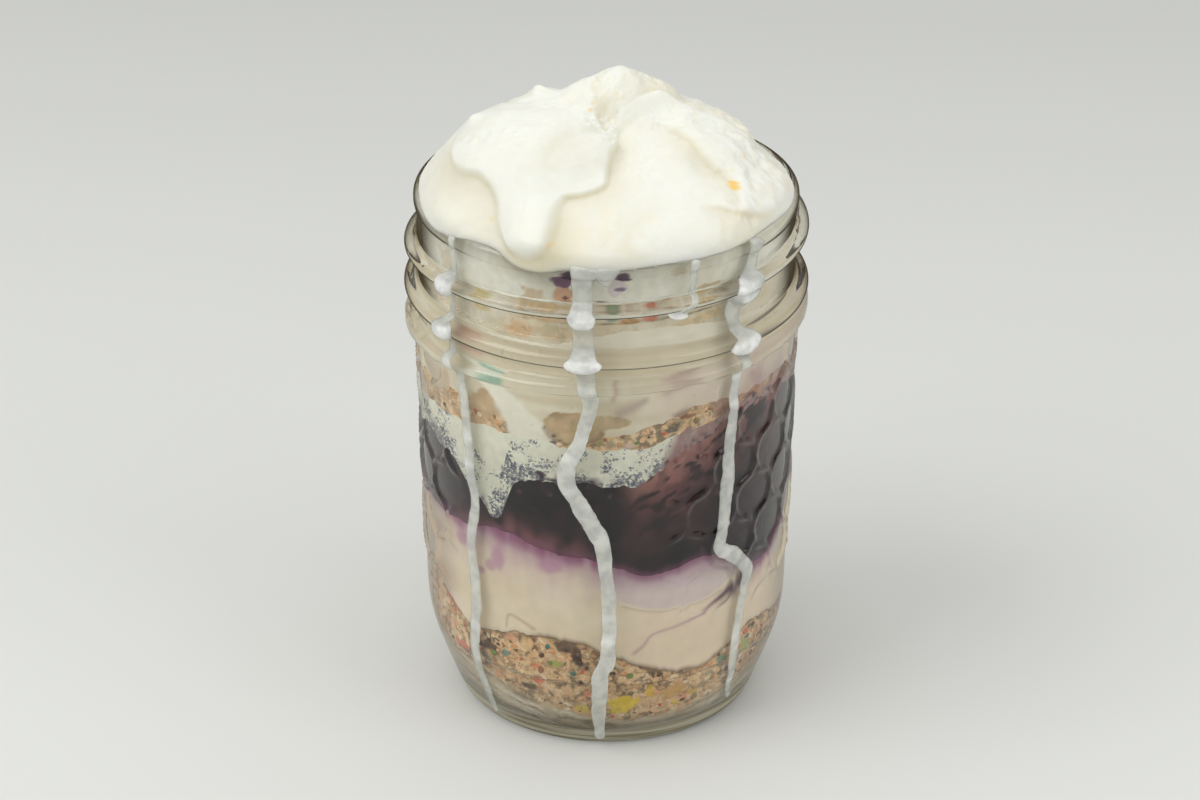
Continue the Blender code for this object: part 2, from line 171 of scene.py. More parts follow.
def blend(tree, share, under, over):
    """One colour laid over another in a finish."""
    node = tree.nodes.new("ShaderNodeMix")
    node.data_type = "RGBA"
    for place, value in ((0, share), (6, under), (7, over)):
        if isinstance(value, bpy.types.NodeSocket):
            tree.links.new(value, node.inputs[place])
        else:
            node.inputs[place].default_value = value if place == 0 else (*value, 1.0)
    return node.outputs[2]


def band(tree, value, low, high, start=0.0, end=1.0):
    return add_node(tree, "ShaderNodeMapRange", {"interpolation_type": "SMOOTHSTEP"}, Value=value,
                    From_Min=low, From_Max=high, To_Min=start, To_Max=end).outputs["Result"]


def times(tree, one, other):
    return add_node(tree, "ShaderNodeMath", {"operation": "MULTIPLY"}, _0=one, _1=other).outputs[0]


def bumped(tree, shader, height, strength, distance):
    """Small unevenness that a height gives to a finish."""
    lift = add_node(tree, "ShaderNodeBump", Height=height, Strength=strength, Distance=distance)
    tree.links.new(lift.outputs["Normal"], shader.inputs["Normal"])


def speckle(tree, place, scale, detail):
    """A noise between 0 and 1, its spots about 1/scale metres wide."""
    return add_node(tree, "ShaderNodeTexNoise", Vector=place, Scale=scale, Detail=detail).outputs["Fac"]


def on_piece(tree):
    """The piece's own coordinates, in metres."""
    return add_node(tree, "ShaderNodeTexCoord").outputs["Object"]


def give(piece, material, slot, *nodes):
    """Finish a piece, let it ride with the jar and stand for its solids."""
    piece.data.materials.clear()
    piece.data.materials.append(material)
    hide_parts(*nodes)
    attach(piece, "root")


def thread_rise(angle, z):
    """How far the screw thread stands out of the neck."""
    rise = np.zeros(np.broadcast(angle, z).shape)
    for turn in (-360.0, 0.0, 360.0):
        along = angle + turn
        fade = np.clip(np.minimum(along - THREAD_START, THREAD_END - along) / THREAD_FADE, 0, 1)
        off = (z - THREAD_Z - THREAD_PITCH * along / 360.0) / THREAD_HALF
        shape = np.clip(1.0 - np.abs(off + 0.10 * off * off) ** 2.1, 0.0, 1.0) ** 0.6
        rise = np.maximum(rise, THREAD_PROUD * np.sqrt(fade) * shape)
    return rise


def quilt_rise(angle, z):
    """Raised ribs of the diamond quilting, faded out at its borders and off the panels."""
    across, up = around(angle, QUILT_CENTRE) / QUILT_ACROSS, (z - QUILT_MID_Z) / QUILT_UP
    ribs = 0.0
    for lean in (1.0, -1.0):
        bow = 0.10 * np.sin(2 * pi * (across - lean * up))
        off = np.abs((across + lean * up + bow + 0.5) % 1.0 - 0.5) * RIB_SPACING
        ribs = np.maximum(ribs, np.exp(-(off / RIB_WIDTH) ** 2))
    side = np.abs(around(angle, -17.0))
    panel = soft_step(side, 31.0, 41.0) * (1.0 - soft_step(side, 146.0, 156.0))
    height = soft_step(z, 25.0, 30.0) * (1.0 - soft_step(z, 73.0, 76.0))
    return RIB_PROUD * ribs * panel * height


foot = smooth_line([(9.0, 1.0), (19.0, 0.9), (22.4, 0.3), (23.6, 0.0)], 0.8)
heel = smooth_line([(24.8, 0.0), (26.0, 0.5), (27.0, 2.0), (28.5, 6.0), (29.95, 10.0), (31.2, 14.0),
                    (31.85, 17.5), (BODY_FOOT, HEEL_Z)], 0.5)
body_z = np.arange(HEEL_Z + 0.5, SHOULDER_Z + 0.8, 0.42)
body = np.stack([np.interp(body_z, [HEEL_Z, SHOULDER_Z], [BODY_FOOT, BODY_TOP]), body_z], 1)
bead = arc((BODY_TOP, BEAD_Z), (BEAD_RADIUS - BODY_TOP, 1.5), -78.0, 78.0, 15)
neck_z = np.arange(BEAD_Z + 1.9, RIM_CURVE_Z - 1.6, 0.18)
neck = np.stack([np.full_like(neck_z, NECK_RADIUS), neck_z], 1)
crown = RIM_Z - RIM_CURVE_Z
rim = np.vstack([[(RIM_RADIUS - 0.1, RIM_CURVE_Z - 1.2), (RIM_RADIUS, RIM_CURVE_Z - 0.7)],
                 arc((RIM_CREST, RIM_CURVE_Z), (RIM_RADIUS - RIM_CREST, crown), 0.0, 90.0, 9)])
inner_rim = arc((RIM_CREST, RIM_CURVE_Z), (BORE_NECK - RIM_CREST, crown), 80.0, 0.0, 8)
inner_wall = smooth_line([(BORE_NECK, RIM_CURVE_Z - 1.0), (BORE_NECK, RIM_Z - 14.65),
                          (BORE_BODY, SHOULDER_Z), (BORE_BODY - 0.4, HEEL_Z), (29.0, 15.0), (28.1, 10.5),
                          (26.8, 6.8), (24.6, 4.4), (21.2, 3.5), (8.0, 3.3)], 0.9)
outer_wall = np.vstack([heel, body, bead, neck, rim])
outline = np.vstack([foot, outer_wall, inner_rim, inner_wall])
angles = np.linspace(-180.0, 180.0, GLASS_COLUMNS, endpoint=False)
turn_grid, r_grid = np.meshgrid(angles, outline[:, 0])
z_grid = np.meshgrid(angles, outline[:, 1])[1]
outside = np.arange(len(outline)) < len(foot) + len(outer_wall)
on_wall = (outside & (outline[:, 1] > 3.0))[:, None]
r_grid = r_grid + on_wall * (quilt_rise(turn_grid, z_grid) + thread_rise(turn_grid, z_grid))
wave = drift(turned(r_grid, turn_grid, z_grid), 9.0, 11)
r_grid = r_grid + 0.05 * wave * soft_step(z_grid, 4.0, 12.0) * (z_grid < SHOULDER_Z)
r_grid = np.minimum(r_grid, BEAD_RADIUS)
glass_jar = skin("glass_jar", turned(r_grid, turn_grid, z_grid), (0, 0, 1.0), (0, 0, 3.3))

clear_glass, tree, shader = new_finish("Clear pressed glass", 0.02, 0.32)
grazing = add_node(tree, "ShaderNodeLayerWeight", Blend=0.5).outputs["Facing"]
thick_edge = blend(tree, band(tree, grazing, 0.55, 0.95), (0.985, 0.99, 0.975), (0.42, 0.37, 0.25))
tree.links.new(thick_edge, shader.inputs["Base Color"])
shader.inputs["Transmission Weight"].default_value = 1.0
shader.inputs["IOR"].default_value = 1.5
place = on_piece(tree)
smear = speckle(tree, place, 55.0, 4.0)
haze = add_node(tree, "ShaderNodeMapRange", Value=smear, From_Min=0.5, From_Max=0.8, To_Min=0.0,
                To_Max=0.06)
tree.links.new(haze.outputs["Result"], shader.inputs["Roughness"])
bumped(tree, shader, speckle(tree, place, 160.0, 1.0), 0.05, 0.0004)
ray = add_node(tree, "ShaderNodeLightPath")
clear = add_node(tree, "ShaderNodeBsdfTransparent", Color=(0.97, 0.975, 0.962, 1.0))
depth = add_node(tree, "ShaderNodeSeparateXYZ", _0=place).outputs["Z"]
shoulder, ring = 0.0765, 0.0785      # heights between which the body ends, in metres
# Painted dark edges: an almost black olive laid on the glass at grazing angles, standing in for the dark
# room that its edges reflect and refract; strongest on the neck above the ring.
painted_dark_edge_share = times(tree, band(tree, grazing, 0.53, 0.82, 0.0, 0.93),
                 band(tree, depth, shoulder, ring, 0.22, 1.0))
painted_dark_edge = add_node(tree, "ShaderNodeBsdfDiffuse", Color=(0.055, 0.041, 0.021, 1.0), Roughness=0.3)
with_painted_dark_edge = add_node(tree, "ShaderNodeMixShader", _0=painted_dark_edge_share, _1=shader.outputs["BSDF"],
                 _2=painted_dark_edge.outputs["BSDF"])
# A faint whitish bloom on the body below the ring at grazing angles, which is also a painted sheen on the
# quilting.
bloom_and_sheen_share = times(tree, band(tree, grazing, 0.32, 0.78, 0.0, 0.10), band(tree, depth, ring, shoulder))
bloom_and_sheen = add_node(tree, "ShaderNodeBsdfDiffuse", Color=(0.62, 0.60, 0.57, 1.0))
bloomed_and_sheened = add_node(tree, "ShaderNodeMixShader", _0=bloom_and_sheen_share, _1=with_painted_dark_edge.outputs["Shader"],
                  _2=bloom_and_sheen.outputs["BSDF"])
stretched = add_node(tree, "ShaderNodeVectorMath", {"operation": "MULTIPLY"}, _0=place,
                     _1=(40.0, 40.0, 1150.0)).outputs["Vector"]
lines = speckle(tree, stretched, 1.0, 2.0)
heel_shade = blend(tree, band(tree, lines, 0.40, 0.60), (0.27, 0.24, 0.155), (0.56, 0.53, 0.41))
heel_shade = blend(tree, band(tree, depth, 0.0012, 0.0002), heel_shade, (0.16, 0.15, 0.12))
frost = band(tree, depth, 0.0062, 0.0028, 0.0, 0.78)
matt = add_node(tree, "ShaderNodeBsdfDiffuse", Color=heel_shade, Roughness=0.4)
footed = add_node(tree, "ShaderNodeMixShader", _0=frost, _1=bloomed_and_sheened.outputs["Shader"],
                  _2=matt.outputs["BSDF"])
both = add_node(tree, "ShaderNodeMixShader", _0=ray.outputs["Is Shadow Ray"],
                _1=footed.outputs["Shader"], _2=clear.outputs["BSDF"])
tree.links.new(both.outputs["Shader"], tree.nodes["Material Output"].inputs["Surface"])
give(glass_jar, clear_glass, "clear_glass", "jar")

# ============================================================================ THE CRUMB BASE
# Biscuit crumbs pressed into the bottom, tan and peach with burnt bits and flecks of
# coloured cereal. The core carries the crumbs as relief against the glass, and
# larger bits are scattered on it and flattened where they touch the wall.

WALL_COLUMNS = 540
REACH = 0.30                 # how far the filling reaches into the wall
MEETINGS = {
    "crumb_base": (20.4, [(-74, 15, 8.0), (-14, 27, 5.6), (25, 45, -4.6), (53, 13, 3.6),
                          (145, 35, 1.9), (196, 27, 2.7)]),
    "cheesecake_lower": (41.0, [(-36, 13, 2.0), (15, 16, -4.2), (59, 20, -8.8), (185, 38, -3.0)]),
    "compote": (54.5, [(-37, 6, -7.6), (-46, 10, -4.3), (10, 9, -2.9), (53, 38, 9.3),
                       (105, 45, 3.1), (191, 41, 3.6)]),
    "speckled_cream": (60.3, [(-33, 24, 2.2), (14, 5, -0.9), (55, 42, 5.4), (165, 45, 3.1)]),
    "crumb_middle": (64.5, [(-44, 23, 2.3), (-14, 21, -1.6), (30, 10, 1.9), (60, 43, 3.0),
                            (176, 9, 2.5)]),
    "cheesecake_upper": (81.2, [(-25, 15, -1.2), (15, 25, 2.4), (120, 40, 1.5), (230, 35, -0.8)]),
    "crumb_upper": (85.6, [(-22, 16, 1.0), (18, 28, 1.6), (110, 40, 1.2), (240, 30, 0.9)]),
}
RAGGED = {"crumb_base": 0.35, "cheesecake_lower": 0.3, "compote": 0.55, "speckled_cream": 0.35,
          "crumb_middle": 0.35, "cheesecake_upper": 0.25, "crumb_upper": 0.3}
wall_angles = np.linspace(-180.0, 180.0, WALL_COLUMNS, endpoint=False)


def meeting(name, angle):
    """Height at which a layer meets the next one on the glass."""
    level, bumps = MEETINGS[name]
    height = level + 0.0 * angle
    for centre, width, rise in bumps:
        height = height + rise * np.exp(-(around(angle, centre) / width) ** 2)
    ring = turned(30.0, angle, 0.0)
    return height + RAGGED[name] * (drift(ring, 3.2, len(name)) + 0.6 * drift(ring, 1.3, 7)
                                    + 0.5 * drift(ring, 0.7, 8))


def bore(z):
    """Radius of the jar's inner wall at a height."""
    return np.interp(z, inner_wall[::-1, 1], inner_wall[::-1, 0])


def paint(*rgb):
    """A colour given as it looks on a screen, 0 to 255, as light."""
    return ((np.array(rgb) / 255.0 + 0.055) / 1.055) ** 2.4


def lay(under, over, mask):
    """One colour laid over another where a mask says."""
    return under + (np.asarray(over) - under) * np.clip(mask, 0.0, 1.0)[..., None]


def clouded(z, ground, cloud, share):
    """A layer's ground colour, clouded by another."""
    return lay(np.broadcast_to(paint(*ground), z.shape + (3,)), paint(*cloud), share)


def spot(angle, z, at, height, wide, tall):
    return np.exp(-(around(angle, at) / wide) ** 2 - ((z - height) / tall) ** 2)


def stained(colours, cover, angle, z, stains, ragged, edge, strength=1.0, held=0.85):
    """Lay small stains (angle, height, half width, half height, colour) over a layer's colours."""
    for at, height, wide, tall, shade in stains:
        mask = soft_step(spot(angle, z, at, height, wide, tall) + ragged, *edge)
        colours = lay(colours, paint(*shade), strength * mask)
        cover = np.maximum(cover, held * mask)
    return colours, cover


WALL_ARC = 0.52              # millimetres of the bore's wall to a degree


def streak(angle, z, route, width):
    """A soft mark along a route of (angle, height) points on the wall."""
    line = smooth_line([(a * WALL_ARC, h, w) for a, h, w in route], 0.8)
    nearest = np.full(np.broadcast(angle, z).shape, 1e9)
    for (a, h, w), (b, i, v) in zip(line, line[1:]):
        length = (b - a) ** 2 + (i - h) ** 2 + 1e-9
        share = np.clip(((angle * WALL_ARC - a) * (b - a) + (z - h) * (i - h)) / length, 0.0, 1.0)
        off = np.hypot(angle * WALL_ARC - a - share * (b - a), z - h - share * (i - h))
        nearest = np.minimum(nearest, off / np.maximum((w + share * (v - w)) * width, 0.05))
    return np.exp(-nearest ** 2)


def grains(points, size, seed):
    """For each point the distance to its nearest grain, in grain sizes, and that grain's draw."""
    draws = np.random.default_rng(seed).random((4, 4096))
    place = np.asarray(points) / size + 200.0
    cell = np.floor(place).astype(np.int64)
    best = np.full(cell.shape[:-1], 9.0)
    pick = np.zeros(cell.shape[:-1])
    for step in np.ndindex(3, 3, 3):
        near = cell + np.array(step) - 1
        mixed = near * (73856093, 19349663, 83492791)
        key = (mixed[..., 0] ^ mixed[..., 1] ^ mixed[..., 2]) & 4095
        centre = near + np.stack([draws[0][key], draws[1][key], draws[2][key]], -1)
        away = np.sqrt(((place - centre) ** 2).sum(-1))
        pick = np.where(away < best, draws[3][key], pick)
        best = np.minimum(best, away)
    return best, pick


def stain(piece, colours, name="Tint"):
    """Keep a colour for every point of a mesh."""
    values = np.ones((len(piece.data.vertices), 4))
    values[:, :3] = colours.reshape(-1, 3)
    layer = piece.data.attributes.new(name, "FLOAT_COLOR", "POINT")
    layer.data.foreach_set("color", values.ravel())


def mark(piece, values, name):
    """Keep a plain number for every point of a mesh."""
    layer = piece.data.attributes.new(name, "FLOAT", "POINT")
    layer.data.foreach_set("value", np.asarray(values, float).ravel())


def fill(name, z, colours, sunk, **marks):
    """A layer of filling from the heights, colours and hollows of its wall, row by row."""
    ring = turned(bore(z) + REACH - sunk, wall_angles[None, :] + 0.0 * z, z)
    low, high = [], []
    for share in (0.3, 0.6, 0.85, 0.96):
        for edge, discs in ((0, low), (-1, high)):
            disc = ring[edge] * (share, share, 1.0)
            level = ring[edge][:, 2].mean()
            disc[:, 2] = level + (ring[edge][:, 2] - level) * share ** 1.5
            discs.append(disc)
    rings = np.concatenate([low, ring, high[::-1]])
    shades = np.concatenate([[colours[0]] * 4, colours, [colours[-1]] * 4])
    poles = [(0, 0, ring[0][:, 2].mean()), (0, 0, ring[-1][:, 2].mean())]
    piece = skin(name, rings, *poles)
    piece.data.set_sharp_from_angle(angle=radians(55.0))
    stain(piece, np.vstack([shades.reshape(-1, 3), shades[0, :1], shades[-1, :1]]))
    for label, values in marks.items():
        whole = np.concatenate([[values[0]] * 4, values, [values[-1]] * 4])
        mark(piece, np.concatenate([whole.ravel(), [0.0, 0.0]]), label)
    return piece


def wall_rows(low, high, count):
    """Heights of a wall's rows between two edges, and the angle at each."""
    share = np.linspace(0.0, 1.0, count)[:, None]
    z = low[None, :] * (1.0 - share) + high[None, :] * share
    return z, np.broadcast_to(wall_angles[None, :], z.shape)


def scaled(tree, colour, amount):
    """A colour made lighter or darker by an amount."""
    node = add_node(tree, "ShaderNodeVectorMath", {"operation": "SCALE"}, _0=colour, Scale=amount)
    return node.outputs["Vector"]


def kept(tree, name, output="Fac"):
    """What a mesh keeps for its points under a name."""
    return add_node(tree, "ShaderNodeAttribute", {"attribute_name": name}).outputs[output]


def food_finish(name, roughness, specular, grain, contrast, bump, scatter=0.0):
    """A food's finish: its kept colours, mottled by a fine grain that also lifts it."""
    material, tree, shader = new_finish(name, roughness, specular)
    place = on_piece(tree)
    tint = kept(tree, "Tint", "Color")
    noise = speckle(tree, place, grain, 5.0)
    shade = add_node(tree, "ShaderNodeMapRange", Value=noise, From_Min=0.3, From_Max=0.7,
                     To_Min=1.0 - contrast, To_Max=1.0 + contrast)
    tree.links.new(scaled(tree, tint, shade.outputs["Result"]), shader.inputs["Base Color"])
    bumped(tree, shader, noise, bump, 0.0005)
    if scatter:
        shader.inputs["Subsurface Weight"].default_value = scatter
        shader.inputs["Subsurface Radius"].default_value = (1.0, 0.9, 0.7)
        shader.inputs["Subsurface Scale"].default_value = 0.0025
    return material


def crumb_wall(angle, z, seed):
    """How far the crumbs' mass stands back from the face of the grains that touch the glass."""
    points = turned(bore(z), angle, z)
    away, _ = grains(points, 1.3, seed)
    fine, _ = grains(points, 0.7, seed + 1)
    hollow = np.clip(away - 0.35, 0.0, 0.5) * 1.2 + np.clip(fine - 0.4, 0.0, 0.4) * 0.5
    return 0.12 + np.clip(0.2 * hollow, 0.0, 0.14)


def pick_from(tree, value, choices):
    """Steps of colour, each holding for its share of the values between 0 and 1."""
    node = add_node(tree, "ShaderNodeValToRGB", Fac=value)
    node.color_ramp.interpolation = "CONSTANT"
    start = 0.0
    for number, (share, colour) in enumerate(choices):
        stops = node.color_ramp.elements
        stop = stops[number] if number < 2 else stops.new(start)
        stop.position = start
        stop.color = (*colour, 1.0)
        start += share
    return node.outputs["Color"]


def cells(tree, place, scale, seed, reach=0.45, feature="F1"):
    """Irregular cells about 1/scale metres wide: distance from the middle, and random values."""
    moved = add_node(tree, "ShaderNodeVectorMath", {"operation": "ADD"}, _0=place,
                     _1=(seed, 0.37 * seed, 0.0))
    node = add_node(tree, "ShaderNodeTexVoronoi", {"feature": feature}, Vector=moved.outputs["Vector"],
                    Scale=scale)
    if feature != "F1":
        return node.outputs["Distance"], None, None
    draws = add_node(tree, "ShaderNodeSeparateColor", Color=node.outputs["Color"]).outputs
    return band(tree, node.outputs["Distance"], reach, reach * 0.6), draws["Red"], draws["Green"]


def under(tree, value, limit):
    return add_node(tree, "ShaderNodeMath", {"operation": "LESS_THAN"}, _0=value, _1=limit).outputs[0]


def wobbled(tree, amount, scale):
    """Object coordinates pushed about by a noise, for ragged edges."""
    place = on_piece(tree)
    noise = add_node(tree, "ShaderNodeTexNoise", Vector=place, Scale=scale, Detail=2.0)
    return add_node(tree, "ShaderNodeVectorMath", {"operation": "MULTIPLY_ADD"}, _0=noise.outputs["Color"],
                    _1=(amount, amount, amount), _2=place).outputs["Vector"]


CRUMB_SHADES = [(0.28, paint(214, 176, 132)), (0.20, paint(230, 196, 152)), (0.15, paint(196, 154, 110)),
                (0.12, paint(238, 216, 182)), (0.08, paint(164, 122, 84)), (0.05, paint(104, 78, 58)),
                (0.12, paint(226, 168, 120))]
FLECK_SHADES = [(0.20, paint(82, 132, 122)), (0.20, paint(122, 144, 84)), (0.30, paint(212, 112, 86)),
                (0.14, paint(226, 194, 76)), (0.16, paint(236, 222, 196))]


def crumb_finish(name, flecks):
    """Pressed crumbs: tan grains of several sizes with painted highlights on their tops, painted shade
    in the crevices between them, and coloured flecks, under whatever has been smeared over them,
    which the Tint and Cover values keep."""
    material, tree, shader = new_finish(name, 0.8, 0.12)
    place = wobbled(tree, 0.0016, 600.0)
    _, coarse, _ = cells(tree, place, 620.0, 0.11)
    _, fine, _ = cells(tree, place, 1500.0, 0.23)
    colour = blend(tree, 0.45, pick_from(tree, coarse, CRUMB_SHADES), pick_from(tree, fine, CRUMB_SHADES))
    broad = speckle(tree, place, 160.0, 2.0)
    mottle = add_node(tree, "ShaderNodeTexNoise", Vector=place, Scale=620.0, Detail=4.0,
                      Roughness=0.6).outputs["Fac"]
    # Painted highlight on the raised tops of the grains, where the bump below lifts them.
    colour = blend(tree, band(tree, mottle, 0.54, 0.70, 0.0, 0.75), colour, paint(236, 212, 166))
    # Painted shade in the crevices between the grains, where the bump below sinks them.
    crevice_shade = times(tree, band(tree, mottle, 0.54, 0.42), band(tree, broad, 0.60, 0.44, 0.2, 1.0))
    colour = blend(tree, times(tree, crevice_shade, 0.95), colour, paint(62, 44, 32))
    spot_mask, spot_pick, _ = cells(tree, place, 780.0, 0.31, 0.4)
    colour = blend(tree, times(tree, spot_mask, under(tree, spot_pick, 0.11)), colour, paint(64, 46, 34))
    fleck_mask, fleck_pick, hue = cells(tree, place, 310.0, 0.47, 0.42)
    fleck = times(tree, fleck_mask, under(tree, fleck_pick, flecks))
    colour = blend(tree, times(tree, fleck, 0.8), colour, pick_from(tree, hue, FLECK_SHADES))
    grit = speckle(tree, place, 2600.0, 3.0)
    gritty = scaled(tree, colour, band(tree, grit, 0.3, 0.7, 0.92, 1.18))
    tint = kept(tree, "Tint", "Color")
    cover = kept(tree, "Cover")
    tree.links.new(blend(tree, cover, gritty, tint), shader.inputs["Base Color"])
    bumped(tree, shader, mottle, 0.4, 0.0004)
    return material


def new_tree(name, **sizes):
    """A node tree for shapes, with its named inputs and the finish of what it makes."""
    tree = bpy.data.node_groups.new(name, "GeometryNodeTree")
    inputs = {"Geometry": "Geometry", **sizes, "Finish": "Material"}
    for label, kind in inputs.items():
        tree.interface.new_socket(label.replace("_", " "), in_out="INPUT", socket_type="NodeSocket" + kind)
    tree.interface.new_socket("Geometry", in_out="OUTPUT", socket_type="NodeSocketGeometry")
    return tree, tree.nodes.new("NodeGroupInput").outputs


def end_tree(tree, geometry, finish):
    """Give a tree's shapes their finish and hand them out."""
    dressed = add_node(tree, "GeometryNodeSetMaterial", Geometry=geometry, Material=finish)
    last = tree.nodes.new("NodeGroupOutput")
    tree.links.new(dressed.outputs["Geometry"], last.inputs["Geometry"])


def grains_tree():
    """Loose grains strewn over a surface: lumpy, of mixed size, each with a random shade."""
    tree, given = new_tree("strewn_grains", Spacing="Float", Smallest="Float", Largest="Float", Seed="Int")
    points = add_node(tree, "GeometryNodeDistributePointsOnFaces", {"distribute_method": "POISSON"},
                      Mesh=given["Geometry"], Distance_Min=given["Spacing"], Density_Max=1.5e6,
                      Seed=given["Seed"])
    ball = add_node(tree, "GeometryNodeMeshIcoSphere", Radius=1.0, Subdivisions=2)
    sizes = add_node(tree, "FunctionNodeRandomValue", _2=given["Smallest"], _3=given["Largest"], Seed=3)
    flat = add_node(tree, "FunctionNodeRandomValue", {"data_type": "FLOAT_VECTOR"}, _0=(0.6, 0.6, 0.6),
                    _1=(1.2, 1.2, 1.2), Seed=4)
    size = scaled(tree, flat.outputs[0], sizes.outputs[1])
    turn = add_node(tree, "FunctionNodeRandomValue", {"data_type": "FLOAT_VECTOR"}, _0=(0.0, 0.0, 0.0),
                    _1=(6.28, 6.28, 6.28), Seed=5)
    strewn = add_node(tree, "GeometryNodeInstanceOnPoints", Points=points.outputs["Points"],
                      Instance=ball.outputs["Mesh"], Rotation=turn.outputs[0], Scale=size)
    draw = add_node(tree, "FunctionNodeRandomValue", _2=0.0, _3=1.0, Seed=6)
    marked = add_node(tree, "GeometryNodeStoreNamedAttribute", {"domain": "INSTANCE"},
                      Geometry=strewn.outputs["Instances"], Name="Shade", Value=draw.outputs[1])
    whole = add_node(tree, "GeometryNodeRealizeInstances", Geometry=marked.outputs["Geometry"])
    where = tree.nodes.new("GeometryNodeInputPosition").outputs["Position"]
    lumps = add_node(tree, "ShaderNodeTexNoise", Vector=where, Scale=1100.0, Detail=1.0)
    centred = add_node(tree, "ShaderNodeVectorMath", {"operation": "SUBTRACT"}, _0=lumps.outputs["Color"],
                       _1=(0.5, 0.5, 0.5))
    push = scaled(tree, centred.outputs["Vector"], given["Largest"])
    lumpy = add_node(tree, "GeometryNodeSetPosition", Geometry=whole.outputs["Geometry"], Offset=push)
    end_tree(tree, lumpy.outputs["Geometry"], given["Finish"])
    return tree


def grown(name, ground, tree, values):
    """The plain mesh that a node tree makes of a mesh."""
    holder = bpy.data.objects.new(name + "_ground", ground)
    bpy.context.scene.collection.objects.link(holder)
    modifier = holder.modifiers.new("made", "NODES")
    modifier.node_group = tree
    for socket in tree.interface.items_tree:
        if socket.in_out == "INPUT" and socket.name in values:
            modifier[socket.identifier] = values[socket.name]
    ready = holder.evaluated_get(bpy.context.evaluated_depsgraph_get())
    mesh = bpy.data.meshes.new_from_object(ready)
    holder.modifiers.remove(modifier)
    bpy.data.objects.remove(holder)
    piece = bpy.data.objects.new(name, mesh)
    bpy.context.scene.collection.objects.link(piece)
    return piece


def points_of(piece):
    """A piece's points in millimetres, and each one's distance from the jar's axis."""
    points = np.empty(len(piece.data.vertices) * 3)
    piece.data.vertices.foreach_get("co", points)
    points = points.reshape(-1, 3) / MM
    return points, np.hypot(points[:, 0], points[:, 1])


def wall_sheet(name, z, keep):
    """The part of a layer's wall on which grains are strewn."""
    rows, columns = z.shape
    ring = turned(bore(z) - 0.15, np.broadcast_to(wall_angles[None, :], z.shape), z)
    faces = []
    for row in range(rows - 1):
        for column in range(columns):
            if keep[row, column]:
                after = (column + 1) % columns
                faces.append((row * columns + column, row * columns + after,
                              (row + 1) * columns + after, (row + 1) * columns + column))
    mesh = bpy.data.meshes.new(name)
    mesh.from_pydata((ring.reshape(-1, 3) * MM).tolist(), [], faces)
    return mesh


def strew(name, z, keep, spacing, sizes, seed, node):
    """Crumbs pressed flat against the glass, over the layer that carries them."""
    piece = grown(name, wall_sheet(name, z, keep), strewn_grains,
                  {"Spacing": spacing * MM, "Smallest": sizes[0] * MM, "Largest": sizes[1] * MM,
                   "Seed": seed, "Finish": grain_material})
    points, radius = points_of(piece)
    pressed = np.minimum(radius, bore(points[:, 2]) + 0.33 + 0.03 * drift(points, 1.0, seed)) / radius
    points[:, :2] *= pressed[:, None]
    piece.data.vertices.foreach_set("co", (points * MM).ravel())
    give(piece, grain_material, "biscuit_crumbs", node)


floor_line = smooth_line([(8.0, 3.3), (21.2, 3.5), (24.6, 4.4), (26.8, 6.8), (28.1, 10.5)], 0.5)
top = meeting("crumb_base", wall_angles)
floor_z = np.repeat(floor_line[:-1, 1:2], WALL_COLUMNS, 1)
floor_r = np.repeat(floor_line[:-1, :1], WALL_COLUMNS, 1)
z, angle = wall_rows(np.full(WALL_COLUMNS, 10.5), top, 42)
z = np.vstack([floor_z, z])
radius = np.vstack([floor_r, bore(z[len(floor_z):])])
angle = np.broadcast_to(wall_angles[None, :], z.shape)
points = turned(radius, angle, z)
sunk = crumb_wall(angle, z, 21)
colours = np.broadcast_to(paint(216, 192, 152), z.shape + (3,))
cover = 0.28 + 0.25 * drift(points, 4.0, 22)
ragged_edge = 0.35 * drift(points, 1.1, 5)
CEREAL_STAINS = [
    (6, 10.8, 6.5, 2.3, (236, 208, 52)), (14.5, 12.8, 2.2, 1.6, (222, 186, 56)),
    (-9, 9.5, 3.5, 1.2, (226, 200, 92)), (14, 6.2, 4.0, 1.2, (196, 164, 70)),
    (24, 12.0, 6.0, 1.9, (206, 164, 100)), (-34.5, 18.4, 2.0, 1.2, (84, 140, 128)),
    (-43, 16.0, 2.6, 0.9, (116, 122, 110)), (-57, 23.0, 4.2, 1.2, (226, 132, 104)),
    (-55, 15.8, 4.0, 0.9, (228, 130, 100)), (-23, 14.6, 3.0, 0.9, (224, 128, 98)),
    (-24, 17.6, 2.4, 0.8, (224, 140, 104)), (41.5, 16.0, 3.0, 1.4, (110, 150, 124)),
    (52, 16.5, 3.4, 1.6, (150, 176, 104)), (-16.5, 18.6, 2.0, 0.9, (174, 178, 92)),
    (-33, 22.0, 3.0, 1.0, (232, 176, 140)), (-27, 21.5, 3.2, 1.6, (232, 196, 144)),
    (57, 12.0, 3.0, 1.4, (222, 150, 110)), (31, 10.8, 2.0, 1.0, (214, 186, 86)),
]
colours, cover = stained(colours, cover, angle, z, CEREAL_STAINS, ragged_edge, (0.38, 0.62))
shadow = spot(angle, z, -12.5, 22.3, 6.5, 1.7) + 0.9 * spot(angle, z, -41.0, 18.6, 5.0, 1.5) \
    + 0.8 * spot(angle, z, -10.0, 15.1, 4.5, 1.0) + 0.8 * spot(angle, z, -9.0, 19.6, 3.0, 1.2) \
    + 0.8 * spot(angle, z, -27.0, 12.6, 6.0, 1.2) + 0.7 * spot(angle, z, 28.0, 17.6, 5.0, 0.8)
shadow = soft_step(shadow + 1.1 * ragged_edge + 0.3 * drift(points, 0.6, 27), 0.35, 0.8)
colours = lay(colours, paint(66, 48, 36), shadow)
cover = np.maximum(cover, 0.85 * shadow)
